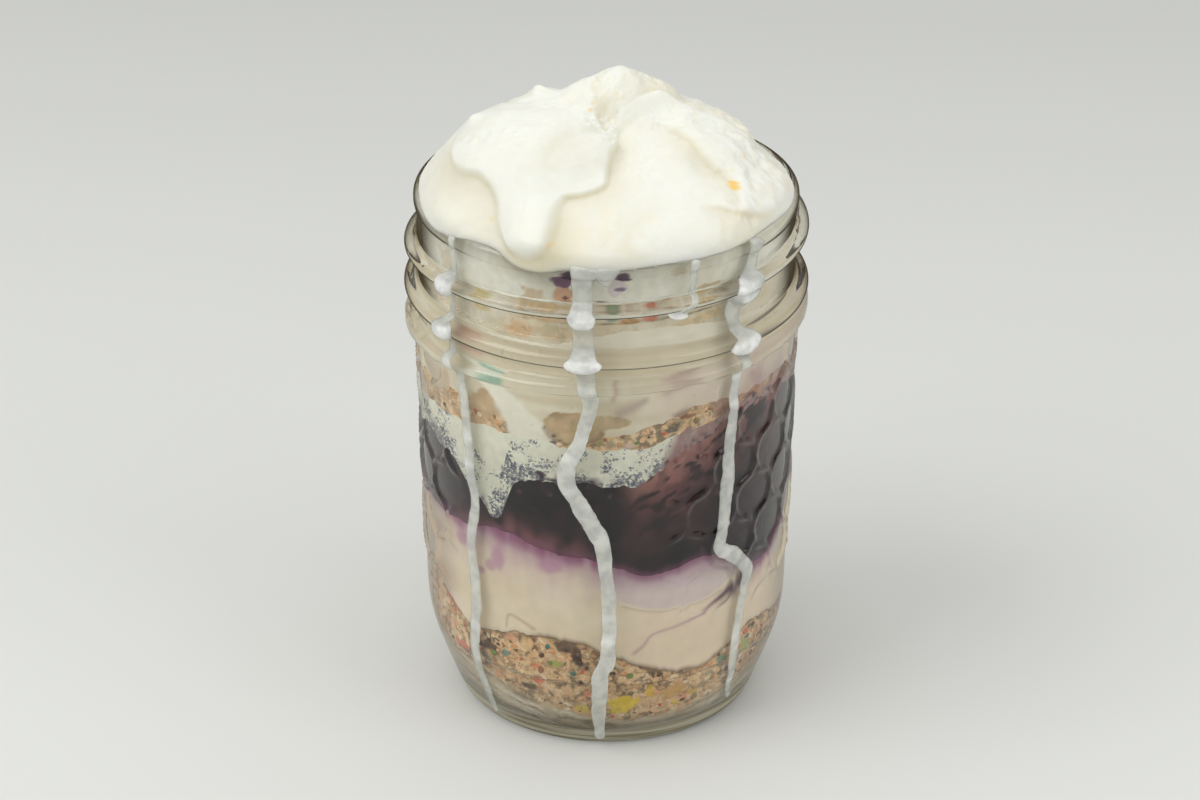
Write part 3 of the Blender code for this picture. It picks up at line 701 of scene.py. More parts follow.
# Painted reflection of the glass heel: below the heel line the crumbs are hazed pale, with light and dark
# streaks.
heel_line = np.interp(angle, [-180, -130, -90, -60, -50, -40, -30, -20, -8, 8, 25, 40, 60, 90, 130, 180],
                      [6.5, 8, 14, 15.0, 14.0, 12.6, 11.2, 9.8, 8.2, 6.8, 7.2, 9.0, 11.5, 13, 8, 6.5])
below = heel_line - z + 0.5 * drift(points, 2.0, 25)
heel_streaks = drift(np.stack([angle * 0.07, below * 1.5, 0.0 * z], -1), 1.0, 26)
heel_haze_tint = clouded(z, (212, 202, 174), (234, 228, 210), soft_step(heel_streaks, 0.1, 0.45))
heel_haze_tint = lay(heel_haze_tint, paint(156, 142, 114), 0.9 * soft_step(-heel_streaks, 0.15, 0.5))
heel_haze = soft_step(below, -0.8, 1.0)
colours = lay(colours, heel_haze_tint, heel_haze)
cover = np.maximum(cover, 0.78 * heel_haze)
# Painted shadow: a dark line along the top of the crumbs, under the cheesecake.
shadow_under_cheesecake = np.exp(-((top[None, :] - z) / 0.8) ** 2)
colours = lay(colours, paint(120, 92, 66), 0.8 * shadow_under_cheesecake)
cover = np.maximum(cover, 0.6 * shadow_under_cheesecake)
crumb_rings = turned(radius + REACH - sunk, angle, z)
crumb_rings[:len(floor_z), :, 2] -= REACH
top_discs = [crumb_rings[-1] * (share, share, 1.0) for share in (0.9, 0.5)]
crumb_base = skin("crumb_base_fill", np.concatenate([crumb_rings, top_discs]), (0, 0, 3.0),
                  (0, 0, top.mean()))
crumb_tints = np.concatenate([colours, colours[-1:], colours[-1:]]).reshape(-1, 3)
stain(crumb_base, np.vstack([crumb_tints, crumb_tints[:1], crumb_tints[:1]]))
crumb_covers = np.concatenate([cover, cover[-1:], cover[-1:]]).ravel()
mark(crumb_base, np.concatenate([crumb_covers, [0.0, 0.0]]), "Cover")
crumb_material = crumb_finish("Biscuit crumbs", 0.13)
give(crumb_base, crumb_material, "biscuit_crumbs", "crumb_base")

grain_material, tree, shader = new_finish("Loose biscuit grains", 0.8, 0.12)
shade = kept(tree, "Shade")
grain_colour = pick_from(tree, shade, [(0.9 * share, colour) for share, colour in CRUMB_SHADES]
                         + [(0.1 * share, colour) for share, colour in FLECK_SHADES])
place = on_piece(tree)
grit = speckle(tree, place, 2200.0, 3.0)
gritty = scaled(tree, grain_colour, band(tree, grit, 0.3, 0.7, 0.8, 1.12))
tree.links.new(gritty, shader.inputs["Base Color"])
bumped(tree, shader, grit, 0.5, 0.0003)
strewn_grains = grains_tree()
bare = (z > 7.0) & (z < top[None, :] - 0.5) & (cover < 0.7) & (drift(points, 2.6, 24) > -0.45)
strew("base_grains", z, bare, 1.1, (0.3, 0.8), 5, "crumb_base")

# ============================================================================ THE LOWER CHEESECAKE
# Dense cream cheese filling spooned in two lobes on the crumbs. The compote above has
# bled into it: lilac under the edge, a rounded lilac patch, and a dark trailing streak.

z, angle = wall_rows(meeting("crumb_base", wall_angles), meeting("cheesecake_lower", wall_angles), 64)
points = turned(bore(z), angle, z)
depth = meeting("cheesecake_lower", wall_angles)[None, :] - z
soft = drift(points * (1, 1, 2.0), 8.0, 31)
colours = clouded(z, (237, 226, 202), (226, 212, 183), 0.5 + 0.6 * soft)
colours = lay(colours, paint(232, 214, 190), 0.6 * soft_step(angle, 0, 12) * (1.0 - soft_step(z, 30, 33)))
left_side = (1.0 - soft_step(angle, -6, 2)) * soft_step(angle, -65, -45)
wisps = drift(points * (1, 1, 0.3), 1.5, 35)
bleed = 2.0 + 2.6 * left_side + 1.5 * drift(points, 6.0, 33) + 0.6 * drift(points, 1.8, 34) \
    + 1.4 * left_side * wisps
glow = np.exp(-np.clip(depth / np.clip(bleed, 0.5, 9.0), 0, None) ** 1.4)
colours = lay(colours, paint(184, 144, 168), 0.9 * glow)
colours = lay(colours, paint(150, 92, 122),
              np.clip(0.85 + wisps, 0, 1) * np.exp(-(depth / (0.4 * bleed)) ** 2))
swoosh = ((around(angle, 24) / 25.5) ** 2 + ((z - 36.2) / 6.9) ** 2)
lens = 1.0 - soft_step(swoosh, 0.86, 1.02)
colours = lay(colours, paint(216, 202, 200), 0.85 * lens)
colours = lay(colours, paint(186, 152, 168), 0.8 * lens * soft_step(z, 32.5, 38.0))
colours = lay(colours, paint(140, 88, 116), 0.8 * np.exp(-(depth / 1.3) ** 2) * soft_step(angle, -4, 8))
# Painted light and shade along the lilac patch's lower edge: a highlight on its lip and a shadow under it.
lens_highlight = np.exp(-((swoosh - 0.98) / 0.05) ** 2) * (angle > 3) * (angle < 44) * (z < 33)
colours = lay(colours, paint(236, 226, 208), 0.5 * lens_highlight)
lens_shadow = np.exp(-((swoosh - 1.09) / 0.07) ** 2) * (angle > 3) * (angle < 40) * (z < 31)
colours = lay(colours, paint(186, 166, 140), 0.45 * lens_shadow)
trail = streak(angle, z, [(51, 31.4, 2.1), (46, 30.0, 1.8), (40, 28.7, 1.2), (36, 28.0, 0.7),
                          (30, 26.6, 0.45), (22, 25.6, 0.35), (15, 24.8, 0.35), (12, 22.8, 0.4),
                          (9, 21.4, 0.5)], 0.8)
trail_shade = clouded(z, (176, 132, 148), (96, 66, 84), soft_step(angle, 32, 40))
colours = lay(colours, trail_shade, trail * (0.55 + 0.4 * soft_step(angle, 25, 40)))
for at, height, wide, tall in ((-37, 37.6, 3.2, 2.6), (-44, 33.6, 2.4, 1.0), (-40, 35.2, 2.4, 1.3),
                               (-52, 38.0, 5.0, 1.6), (-18, 38.2, 6.0, 1.6)):
    mask = soft_step(spot(angle, z, at, height, wide, tall) + 0.2 * drift(points, 1.6, at + 90), 0.25, 0.85)
    colours = lay(colours, paint(186, 132, 166), 0.65 * mask)
dim = (1.0 - soft_step(angle, -66, -52)) * soft_step(angle, -120, -100)
colours = lay(colours, paint(184, 160, 142), 0.85 * dim * (0.8 + 0.4 * drift(points, 4.0, 36)))
# Painted shade in the fold where the left lobe meets the crumbs.
fold_shade = streak(angle, z, [(-34, 24.0, 0.5), (-33, 26.6, 0.5), (-28, 26.0, 0.6), (-24, 25.0, 0.8)], 0.5)
colours = lay(colours, paint(180, 156, 122), 0.6 * fold_shade)
# Painted shadow: a dark line along the bottom of the cheesecake where it sits on the crumbs, strongest in
# front.
edge = z - meeting("crumb_base", wall_angles)[None, :]
front = soft_step(angle, -26, -20) * (1.0 - soft_step(angle, 38, 46))
colours = lay(colours, paint(124, 98, 74), 0.75 * np.exp(-(edge / 0.55) ** 2) * (0.25 + 0.75 * front))
cheesecake_lower = fill("cheesecake_lower_fill", z, colours, 0.0 * z)
cheesecake_material = food_finish("Cheesecake filling", 0.5, 0.15, 420.0, 0.035, 0.1)
give(cheesecake_lower, cheesecake_material, "cheesecake", "cheesecake_lower")

# ============================================================================ THE COMPOTE
# Dark cooked berries, almost black against the glass, redder where they thin out on
# the right. Skins and pips show as a low relief, and cream has crept into its upper edge.

z, angle = wall_rows(meeting("cheesecake_lower", wall_angles), meeting("compote", wall_angles), 56)
points = turned(bore(z), angle, z)
height = z - meeting("cheesecake_lower", wall_angles)[None, :]
under_top = meeting("compote", wall_angles)[None, :] - z
colours = clouded(z, (12, 5, 8), (36, 22, 27), 0.45 + 0.7 * drift(points, 4.5, 41))
thin = soft_step(angle + 0.5 * (z - 56), 9, 18) * (1.0 - soft_step(angle, 38, 50)) \
    * np.exp(-(under_top / 5.0) ** 2)
strokes = drift(points * (0.45, 0.45, 2.2), 2.4, 42)
colours = lay(colours, paint(176, 118, 114), thin * np.clip(0.7 + 0.6 * strokes, 0, 1))
arc_mm = 0.57 * angle
leaning = np.stack([(arc_mm + 0.35 * z) / 3.0, (z - 0.35 * arc_mm) / 0.8, 0.0 * z + 3.0], -1)
ruddy = soft_step(angle, 2, 14) * (1.0 - soft_step(angle, 62, 74)) * np.exp(-(under_top / 13.0) ** 2)
colours = lay(colours, paint(112, 70, 68), 0.8 * ruddy * np.clip(0.6 + 0.7 * drift(points, 3.0, 49), 0, 1))
colours = lay(colours, paint(166, 118, 108), 0.75 * ruddy * np.exp(-(under_top / 3.0) ** 2))
# Painted refraction lines: short dark strokes standing in for the dark lines that the glass quilting draws
# over the fruit, strongest in the redder part.
refraction_strokes = soft_step(drift(leaning, 1.0, 47), 0.15, 0.38)
colours = lay(colours, paint(16, 7, 11), 0.95 * refraction_strokes * np.maximum(ruddy, 0.25))
mottle = soft_step(drift(points * (1, 1, 0.8), 1.5, 45), 0.1, 0.5)
colours = lay(colours, paint(58, 34, 38), 0.4 * mottle)
rosy = soft_step(angle, -62, -44) * (1.0 - soft_step(angle, -14, 2)) * np.exp(-(height / 2.9) ** 2)
rosy = rosy * np.clip(0.75 + 0.9 * drift(points * (1, 1, 0.5), 1.6, 48), 0.0, 1.0)
colours = lay(colours, paint(136, 86, 88), 0.85 * rosy)
bits, bit_pick = grains(points, 1.5, 43)
colours = lay(colours, paint(96, 60, 66), 0.4 * (bit_pick > 0.95) * (1.0 - soft_step(bits, 0.2, 0.45)))
seam = 0.9 + 0.5 * drift(points, 2.0, 44)
colours = lay(colours, paint(112, 70, 92), 0.7 * np.exp(-(height / seam) ** 2))
compote = fill("compote_fill", z, colours, np.clip(0.07 + 0.09 * drift(points, 1.7, 46), 0.0, 0.15))
compote_material = food_finish("Dark fruit compote", 0.4, 0.08, 260.0, 0.22, 0.12)
give(compote, compote_material, "dark_fruit_compote", "compote")

# ============================================================================ THE SPECKLED CREAM
# Cream that the berries' skins and pips have been stirred into: pale, peppered with navy
# specks that crowd towards its ragged lower edge, and thin on the right, where fruit shows.


def speckled_finish(name):
    """Cream with ragged navy specks, as many as the Crowd value asks for."""
    material, tree, shader = new_finish(name, 0.5, 0.15)
    place = wobbled(tree, 0.0009, 1300.0)
    colour = kept(tree, "Tint", "Color")
    crowd = kept(tree, "Crowd")
    for scale, seed, reach, strength in ((1200.0, 0.13, 0.44, 0.5), (1900.0, 0.29, 0.5, 0.6)):
        mask, pick, hue = cells(tree, place, scale, seed, reach)
        shade = pick_from(tree, hue, [(0.6, paint(98, 102, 120)), (0.25, paint(66, 66, 90)),
                                      (0.15, paint(140, 104, 122))])
        share = times(tree, crowd, strength)
        colour = blend(tree, times(tree, times(tree, mask, under(tree, pick, share)), 0.8), colour, shade)
    for scale, shade, low in ((1250.0, paint(126, 131, 138), 0.675), (1900.0, paint(74, 78, 96), 0.685)):
        blotch = add_node(tree, "ShaderNodeTexNoise", Vector=place, Scale=scale, Detail=3.0, Roughness=0.65)
        raised = add_node(tree, "ShaderNodeMath", {"operation": "MULTIPLY_ADD"}, _0=crowd, _1=0.24,
                          _2=blotch.outputs["Fac"]).outputs[0]
        specks = times(tree, band(tree, raised, low, low + 0.035, 0.0, 0.85), band(tree, crowd, 0.02, 0.15))
        colour = blend(tree, specks, colour, shade)
    grit = speckle(tree, place, 700.0, 4.0)
    gritty = scaled(tree, colour, band(tree, grit, 0.3, 0.7, 0.95, 1.04))
    tree.links.new(gritty, shader.inputs["Base Color"])
    bumped(tree, shader, grit, 0.15, 0.0005)
    return material


z, angle = wall_rows(meeting("compote", wall_angles), meeting("speckled_cream", wall_angles), 44)
points = turned(bore(z), angle, z)
above = z - meeting("compote", wall_angles)[None, :]
colours = clouded(z, (238, 239, 222), (222, 221, 202), 0.5 + 0.5 * drift(points, 3.0, 51))
leftward = soft_step(-angle, 12, 24)
crowd = 0.20 * np.exp(-(above / 2.0) ** 1.5) + 0.74 * np.clip(0.55 + 1.2 * drift(points, 2.0, 52), 0, 1) \
    * (1.0 - soft_step(above, 5.0 + 2.5 * leftward, 10.0)) * (0.85 + 0.15 * leftward)
crowd = crowd * (1.0 - 0.6 * spot(angle, z, -14.0, 59.5, 5.0, 3.5))
fruit = soft_step(angle - 0.9 * (z - 58), 15, 20) * (1.0 - soft_step(angle, 150, 180))
fruit = np.clip(fruit + 0.25 * drift(points, 1.4, 53) * (fruit > 0.02), 0, 1)
colours = lay(colours, paint(148, 108, 108), fruit * 0.9)
notch = soft_step(spot(angle, z, -21.0, 55.6, 2.6, 1.6) + 0.5 * drift(points, 0.8, 55), 0.55, 0.85)
colours = lay(colours, paint(52, 36, 44), notch)
ragged = np.exp(-above / 1.1) * (0.3 + 2.0 * drift(points, 0.8, 54))
colours = lay(colours, paint(74, 58, 70), np.clip(ragged, 0, 1))
crowd = np.clip(crowd * (1.0 - fruit), 0.0, 1.0)
speckled_cream = fill("speckled_cream_fill", z, colours, 0.0 * z, Crowd=crowd)
speckled_material = speckled_finish("Speckled cream")
give(speckled_cream, speckled_material, "speckled_cream", "speckled_cream")

# ============================================================================ THE MIDDLE CRUMBS
# A thin band of the same crumbs between the creams, loose and broken by two smooth lobes of
# cream painted tan as shade, as if they stood back from the glass: one in front, one on the left.


def shaded_lobes_and_tongue(colours, cover, angle, z):
    """Paint two smooth cream lobes tan as painted shade, as if they stood back from the glass, darker
    towards their edges, which run up into the filling above; and a pale tongue and dark bits.
    """
    place = turned(bore(z), angle, z)
    edge = 0.16 * drift(place, 2.0, 62) + 0.08 * drift(place, 0.8, 66)
    cloudy = drift(place * (1, 1, 1.5), 2.2, 67) + 0.5 * drift(place, 0.8, 68)
    oval = ((angle + 10.5) / 9.5) ** 2 + (np.abs(z - 65.3) / 3.1) ** 2.6
    tail = ((angle + 2.0) / 9.0) ** 2 + (np.abs(z - 66.7) / 1.35) ** 2.6
    dome = ((angle + 39.5) / 10.0) ** 2 + ((z - 62.8 - 0.15 * (angle + 39)) / 7.0) ** 2
    for shape, shade, border_shade in ((dome, (208, 182, 144), (188, 160, 122)),
                                 (oval, (202, 176, 138), (150, 126, 92)),
                                 (tail, (196, 174, 138), (166, 146, 108))):
        # Painted shade: each lobe laid in tan, then darker towards its edge and on its lower half.
        mask = 1.0 - soft_step(shape + edge, 0.9, 1.05)
        colours = lay(colours, paint(*shade), mask)
        dark = mask * soft_step(shape + edge, 0.45, 0.95) * (0.35 + 0.65 * (z < 65.0))
        darker = 0.7 * dark + 0.45 * mask * soft_step(cloudy, 0.0, 0.7)
        colours = lay(colours, paint(*border_shade), darker)
        colours = lay(colours, paint(226, 204, 168), 0.5 * mask * soft_step(-cloudy, 0.05, 0.7))
        crumbly = (shape is dome) * (1.0 - soft_step(z + 1.5 * drift(place, 1.2, 70), 63.6, 65.0))
        cover = np.maximum(cover, 0.95 * mask * (1.0 - 0.75 * crumbly))
    tongue = streak(angle, z, [(-49, 72.6, 0.8), (-43, 71.6, 1.1), (-37, 70.2, 1.5), (-32, 67.9, 2.2),
                               (-28, 65.2, 3.1), (-24.5, 62.4, 3.7)], 1.0)
    tongue = soft_step(tongue + edge, 0.2, 0.55)
    bits = spot(angle, z, -16.5, 62.8, 3.5, 1.3) + 0.8 * spot(angle, z, -19.5, 64.4, 1.6, 0.8)
    bits = soft_step(bits + 0.9 * drift(place, 0.7, 69), 0.75, 1.05)
    colours = lay(colours, paint(240, 239, 222), 0.95 * tongue)
    colours = lay(colours, paint(96, 66, 78), 0.85 * bits)
    return colours, np.maximum(cover, 0.95 * np.maximum(tongue, bits))


z, angle = wall_rows(meeting("speckled_cream", wall_angles), meeting("crumb_middle", wall_angles), 18)
points = turned(bore(z), angle, z)
sunk = crumb_wall(angle, z, 61)
colours = np.broadcast_to(paint(228, 206, 166), z.shape + (3,))
cover = 0.36 + 0.2 * drift(points, 3.0, 60)
MIDDLE_STAINS = [
    (20.5, 64.6, 4.0, 1.3, (108, 104, 84)), (-3.0, 63.8, 3.0, 1.8, (168, 160, 104)),
    (34, 62.0, 5.0, 1.6, (196, 152, 128)), (26, 66.4, 4.0, 0.7, (132, 84, 60)),
    (-46, 62.6, 4.0, 0.9, (202, 152, 96)), (7, 62.2, 3.0, 0.8, (216, 190, 172)),
]
colours, cover = stained(colours, cover, angle, z, MIDDLE_STAINS, 0.2 * drift(points, 1.2, 63), (0.35, 0.7))
fruity = soft_step(angle + 6.0 * drift(points, 2.0, 64), 26, 38) * (1.0 - soft_step(angle, 120, 150))
fruit_tint = clouded(z, (176, 140, 124), (112, 78, 78), soft_step(drift(points, 1.4, 65), -0.1, 0.4))
colours = lay(colours, fruit_tint, fruity)
cover = np.maximum(cover, 0.72 * fruity)
colours, cover = shaded_lobes_and_tongue(colours, cover, angle, z)
crumb_middle = fill("crumb_middle_fill", z, colours, sunk * (1.0 - 0.8 * cover), Cover=cover)
give(crumb_middle, crumb_material, "biscuit_crumbs", "crumb_middle")
bare = (cover < 0.5) & (np.arange(len(z))[:, None] > 1) & (np.arange(len(z))[:, None] < len(z) - 2)
strew("middle_grains", z, bare, 0.95, (0.28, 0.7), 6, "crumb_middle")

# ============================================================================ THE UPPER CHEESECAKE
# A second layer of cream cheese filling, smeared against the glass in faint level bands, with
# a paler tongue on the left and a few coloured stains from crumbs and fruit.

z, angle = wall_rows(meeting("crumb_middle", wall_angles), meeting("cheesecake_upper", wall_angles), 60)
points = turned(bore(z), angle, z)
bands = drift(points * (0.2, 0.2, 1.0), 1.4, 71)
colours = clouded(z, (232, 225, 202), (216, 205, 177), 0.5 + 0.6 * bands)
# Painted shade: a brownish band just under the ring.
colours = lay(colours, paint(216, 202, 172), 0.6 * np.exp(-((z - 76.5) / 2.2) ** 2))
colours = lay(colours, paint(220, 204, 188), 0.6 * soft_step(angle, 8, 20) * (1.0 - soft_step(z, 72, 76)))
colours, _ = shaded_lobes_and_tongue(colours, 0.0 * z, angle, z)
for route, shade, width, strength in (
        ([(-41, 72.6, 1.0), (-37, 72.2, 1.0), (-34, 72.2, 0.7)], (132, 186, 162), 0.95, 0.8),
        ([(-51, 76.4, 1.2), (-45, 76.2, 1.3), (-42, 75.8, 0.8)], (206, 158, 140), 1.0, 0.6),
        ([(2, 71.0, 0.6), (3, 73.2, 0.5)], (186, 152, 136), 0.8, 0.5),
        ([(4, 68.4, 1.0), (8, 69.4, 1.2), (12, 70.6, 0.6)], (170, 142, 136), 1.0, 0.6),
        ([(19, 71.8, 1.0), (24, 73.0, 1.2), (29, 73.6, 0.6)], (176, 150, 142), 1.0, 0.55),
        ([(22, 66.8, 0.8), (25, 67.2, 1.0), (28, 66.4, 0.8)], (134, 92, 70), 0.8, 0.7),
        ([(52, 70.0, 2.0), (58, 67.0, 3.0), (66, 66.0, 3.0)], (176, 138, 146), 1.0, 0.6),
        ([(49, 78.0, 0.4), (54, 78.0, 0.9), (64, 78.3, 0.9), (74, 78.8, 0.5)], (78, 58, 54), 1.0, 0.85),
        ([(40, 66.5, 1.0), (48, 67.4, 1.6)], (196, 164, 146), 1.0, 0.5),
        ([(-60, 67.5, 2.0), (-70, 66.5, 2.4)], (190, 160, 132), 1.0, 0.6)):
    colours = lay(colours, paint(*shade), strength * streak(angle, z, route, width))
colours = lay(colours, paint(238, 232, 212), 0.8 * soft_step(z + 0.4 * drift(points, 3.0, 72), 79.3, 80.3))
cheesecake_upper = fill("cheesecake_upper_fill", z, colours, 0.0 * z)
give(cheesecake_upper, cheesecake_material, "cheesecake", "cheesecake_upper")

# ============================================================================ THE UPPER CRUMBS
# The last band of crumbs, in the neck behind the thread: orange-brown and patchy, with
# cream smeared over much of it.


def cream_smears(angle, z):
    """Where pale cream lies over the crumbs of the neck."""
    place = turned(bore(z), angle, z)
    wide = np.clip(0.5 + 1.3 * drift(place * (1, 1, 2.0), 7.0, 83), 0.0, 1.0)
    front = soft_step(angle, -34, -28) * (1.0 - soft_step(angle, 36, 46))
    sides = np.where(np.abs(angle) < 95, 0.95, 0.45 + 0.6 * wide)
    return np.clip(sides * (1.0 - front) + (0.88 + 0.2 * drift(place, 2.5, 84)) * front, 0.0, 1.0)


def thread_refraction_lines(angle, z, colours):
    """Painted thin brown lines along the thread's edges, standing in for the thread's refraction."""
    place = turned(bore(z), angle, z)
    for off, thick, start, stop, shade, strength in (
            (-1.55, 0.17, -29, -11, (142, 118, 76), 0.8), (-3.3, 0.14, -30, -12, (150, 128, 92), 0.7),
            (-3.4, 0.18, -4, 40, (116, 98, 62), 0.85), (-2.2, 0.22, -4, 22, (168, 118, 64), 0.7),
            (-0.2, 0.14, -3, 26, (134, 116, 84), 0.7), (0.2, 0.16, 25, 40, (146, 122, 78), 0.8),
            (-1.7, 0.30, 24, 42, (158, 130, 78), 0.7), (-2.0, 0.16, -62, -50, (134, 120, 92), 0.6),
            (-0.6, 0.14, 50, 74, (150, 136, 104), 0.6), (-2.4, 0.16, 50, 78, (142, 126, 94), 0.6)):
        height = THREAD_Z + THREAD_PITCH * angle / 360.0 + off + 0.12 * drift(place * (1, 1, 0.1), 2.6, 87)
        span = soft_step(angle, start - 2.0, start + 2.0) * (1.0 - soft_step(angle, stop - 2.0, stop + 2.0))
        broken = np.clip(0.75 + 0.8 * drift(place * (1, 1, 0.1), 1.6, 88), 0.0, 1.0)
        line = np.exp(-((z - height) / thick) ** 2)
        colours = lay(colours, paint(*shade), strength * span * broken * line)
    return colours


z, angle = wall_rows(meeting("cheesecake_upper", wall_angles), meeting("crumb_upper", wall_angles), 44)
points = turned(bore(z), angle, z)
sunk = crumb_wall(angle, z, 81)
colours = clouded(z, (228, 212, 178), (208, 188, 148), 0.5 + 0.8 * drift(points, 2.6, 82))
cover = 0.70 + 0.25 * drift(points, 2.0, 85)
smears = cream_smears(angle, z)
smear_tint = clouded(z, (234, 229, 210), (216, 206, 180), 0.5 + 0.8 * drift(points * (1, 1, 1.8), 4.0, 89))
colours = lay(colours, smear_tint, smears)
cover = np.maximum(cover, 0.95 * smears)
under_top = meeting("crumb_upper", wall_angles)[None, :] - z
creamy = soft_step(1.4 - under_top + 0.4 * drift(points, 1.0, 90), 0.0, 0.5)
creamy = creamy * (0.45 + 0.4 * soft_step(angle, -6, 2)) * (np.abs(angle) < 56)
colours = lay(colours, paint(236, 232, 214), creamy)
cover = np.maximum(cover, 0.95 * creamy)
NECK_STAINS = [
    (-19, 85.2, 10.0, 0.9, (212, 186, 142)), (-27.5, 82.3, 5.5, 1.5, (214, 180, 138)),
    (-15, 82.6, 7.5, 1.5, (208, 190, 156)), (2.0, 85.9, 2.4, 0.8, (104, 158, 132)),
    (7.0, 85.1, 3.6, 0.6, (196, 146, 82)), (13.5, 85.5, 3.0, 0.6, (212, 124, 98)),
    (25.0, 83.6, 6.0, 0.8, (222, 202, 162)), (33.0, 84.2, 6.0, 0.9, (220, 198, 154)),
    (33.0, 86.5, 6.0, 0.7, (200, 176, 124)), (-42.0, 84.5, 4.0, 1.2, (206, 190, 134)),
    (9.0, 82.5, 6.0, 0.8, (206, 180, 152)), (42.0, 83.4, 4.0, 0.8, (204, 176, 130)),
]
colours, cover = stained(colours, cover, angle, z, NECK_STAINS, 0.25 * drift(points, 1.2, 86),
                         (0.25, 0.75), strength=0.9, held=0.8)
# Painted refraction lines of the thread's edges.
colours = thread_refraction_lines(angle, z, colours)
crumb_upper = fill("crumb_upper_fill", z, colours, sunk * (1.0 - 0.8 * cover), Cover=cover)
give(crumb_upper, crumb_material, "biscuit_crumbs", "crumb_upper")

# ============================================================================ THE CREAM IN THE NECK
# The plug of cream that fills the mouth up to the rim, greyer and greasier against the
# glass than the mound, with a few crumbs and fruit skins pressed on the wall.

PLUG_TOP = RIM_CURVE_Z + 0.3
z, angle = wall_rows(meeting("crumb_upper", wall_angles), np.full(WALL_COLUMNS, PLUG_TOP), 56)
points = turned(bore(z), angle, z)
colours = clouded(z, (243, 242, 228), (233, 229, 210), 0.5 + 0.7 * drift(points * (1, 1, 1.6), 5.0, 91))
ragged_edge = 0.25 * drift(points, 1.1, 92) + 0.12 * drift(points, 0.6, 93)
for at, height, wide, tall, shade, strength in (
        (-13, 89.4, 4.2, 1.8, (214, 160, 116), 0.85), (-23, 88.9, 5.0, 1.6, (206, 178, 134), 0.7),
        (-13.2, 92.4, 4.2, 1.4, (116, 66, 100), 0.95), (-11.4, 93.2, 2.4, 0.9, (68, 38, 68), 0.95),
        (2.6, 91.6, 3.6, 2.2, (222, 206, 212), 0.7), (5.4, 93.3, 2.8, 1.0, (76, 44, 80), 0.95),
        (4.2, 91.0, 1.8, 0.35, (96, 88, 118), 0.8), (-2.0, 88.4, 2.2, 0.7, (124, 70, 74), 0.8),
        (-12.6, 89.2, 0.8, 0.5, (110, 60, 64), 0.9), (33, 89.2, 6.5, 0.9, (200, 176, 134), 0.75),
        (22, 93.4, 3.0, 1.2, (216, 200, 164), 0.5), (-58, 90.0, 5.0, 2.0, (206, 188, 150), 0.5),
        (-12.5, 87.8, 5.0, 0.3, (168, 96, 76), 0.8)):
    mask = soft_step(spot(angle, z, at, height, wide, tall) + ragged_edge, 0.4, 0.62)
    colours = lay(colours, paint(*shade), strength * mask)
# Painted refraction lines of the thread's edges.
colours = thread_refraction_lines(angle, z, colours)
neck_cream = fill("neck_cream", z, colours, 0.0 * z, Crowd=0.0 * z)
give(neck_cream, speckled_material, "whipped_cream", "whipped_cream")

# ============================================================================ THE WHIPPED CREAM
# A generous mound of softly whipped cream, dropped on in spoonfuls that melted into each
# other. The big lobe on the left ends in a tongue that droops over the front of the rim.

CREAM_HEART_Z = RIM_Z - 5.6
CREAM_SOFTNESS = 0.9
CREAM_FARTHEST, HALVINGS = 45.0, 17
CREAM_COLUMNS, CREAM_ROWS, UNDER_ROWS = 440, 176, 14
SPOONFULS = [
    ((-0.2, -1.0, 96.0), (30.2, 30.4, 8.6)), ((-12.0, -3.5, 100.0), (16.0, 17.5, 11.4)),
    ((-17.6, 2.0, 97.6), (9.2, 13.5, 8.6)), ((-11.6, -20.8, 98.0), (5.2, 11.8, 5.2)),
    ((10.0, 3.0, 98.5), (13.5, 17.5, 10.8)), ((1.0, 5.0, 103.5), (9.5, 9.0, 10.2)),
    ((3.2, 6.0, 109.2), (4.6, 4.4, 5.8)), ((8.2, 6.0, 107.7), (4.7, 4.4, 4.9)),
    ((-4.0, 3.5, 109.2), (4.0, 3.6, 4.2)), ((-10.5, 5.0, 106.6), (5.0, 5.0, 4.9)),
    ((18.8, 1.4, 100.2), (6.9, 10.6, 6.4)), ((-21.0, -10.0, 97.1), (8.3, 10.2, 4.4)),
    ((-23.4, -1.0, 97.6), (6.8, 9.0, 4.6)), ((9.5, -15.0, 98.0), (14.4, 13.4, 4.8)),
    ((22.2, -4.3, 96.9), (8.2, 10.2, 4.3)), ((6.0, 18.0, 97.4), (13.0, 10.4, 5.2)),
    ((-2.0, -18.4, 97.4), (12.6, 13.1, 4.4)),
]
# Places torn by the spoon: (angle, tilt from upright, size, how rough).
TORN = [(-45, 10, 0.12, 1.2), (48, 72, 0.14, 1.8), (62, 66, 0.14, 1.8), (90, 60, 0.20, 2.0),
        (80, 32, 0.16, 1.3), (78, 70, 0.16, 1.8), (-100, 42, 0.15, 0.8), (-142, 6, 0.06, 1.5),
        (66, 48, 0.08, 0.8), (16, 72, 0.08, 0.7)]
# Small knobs: (angle, tilt from upright, size, height).
KNOBS = [(-114, 31.3, 0.045, 1.1), (-87, 51.5, 0.05, 0.9), (-60, 4, 0.05, 0.8), (-142, 8, 0.05, 0.7),
         (84, 70, 0.05, 0.8), (99, 60, 0.05, 0.7), (150, 40, 0.05, 0.9), (-160, 55, 0.06, 0.8)]
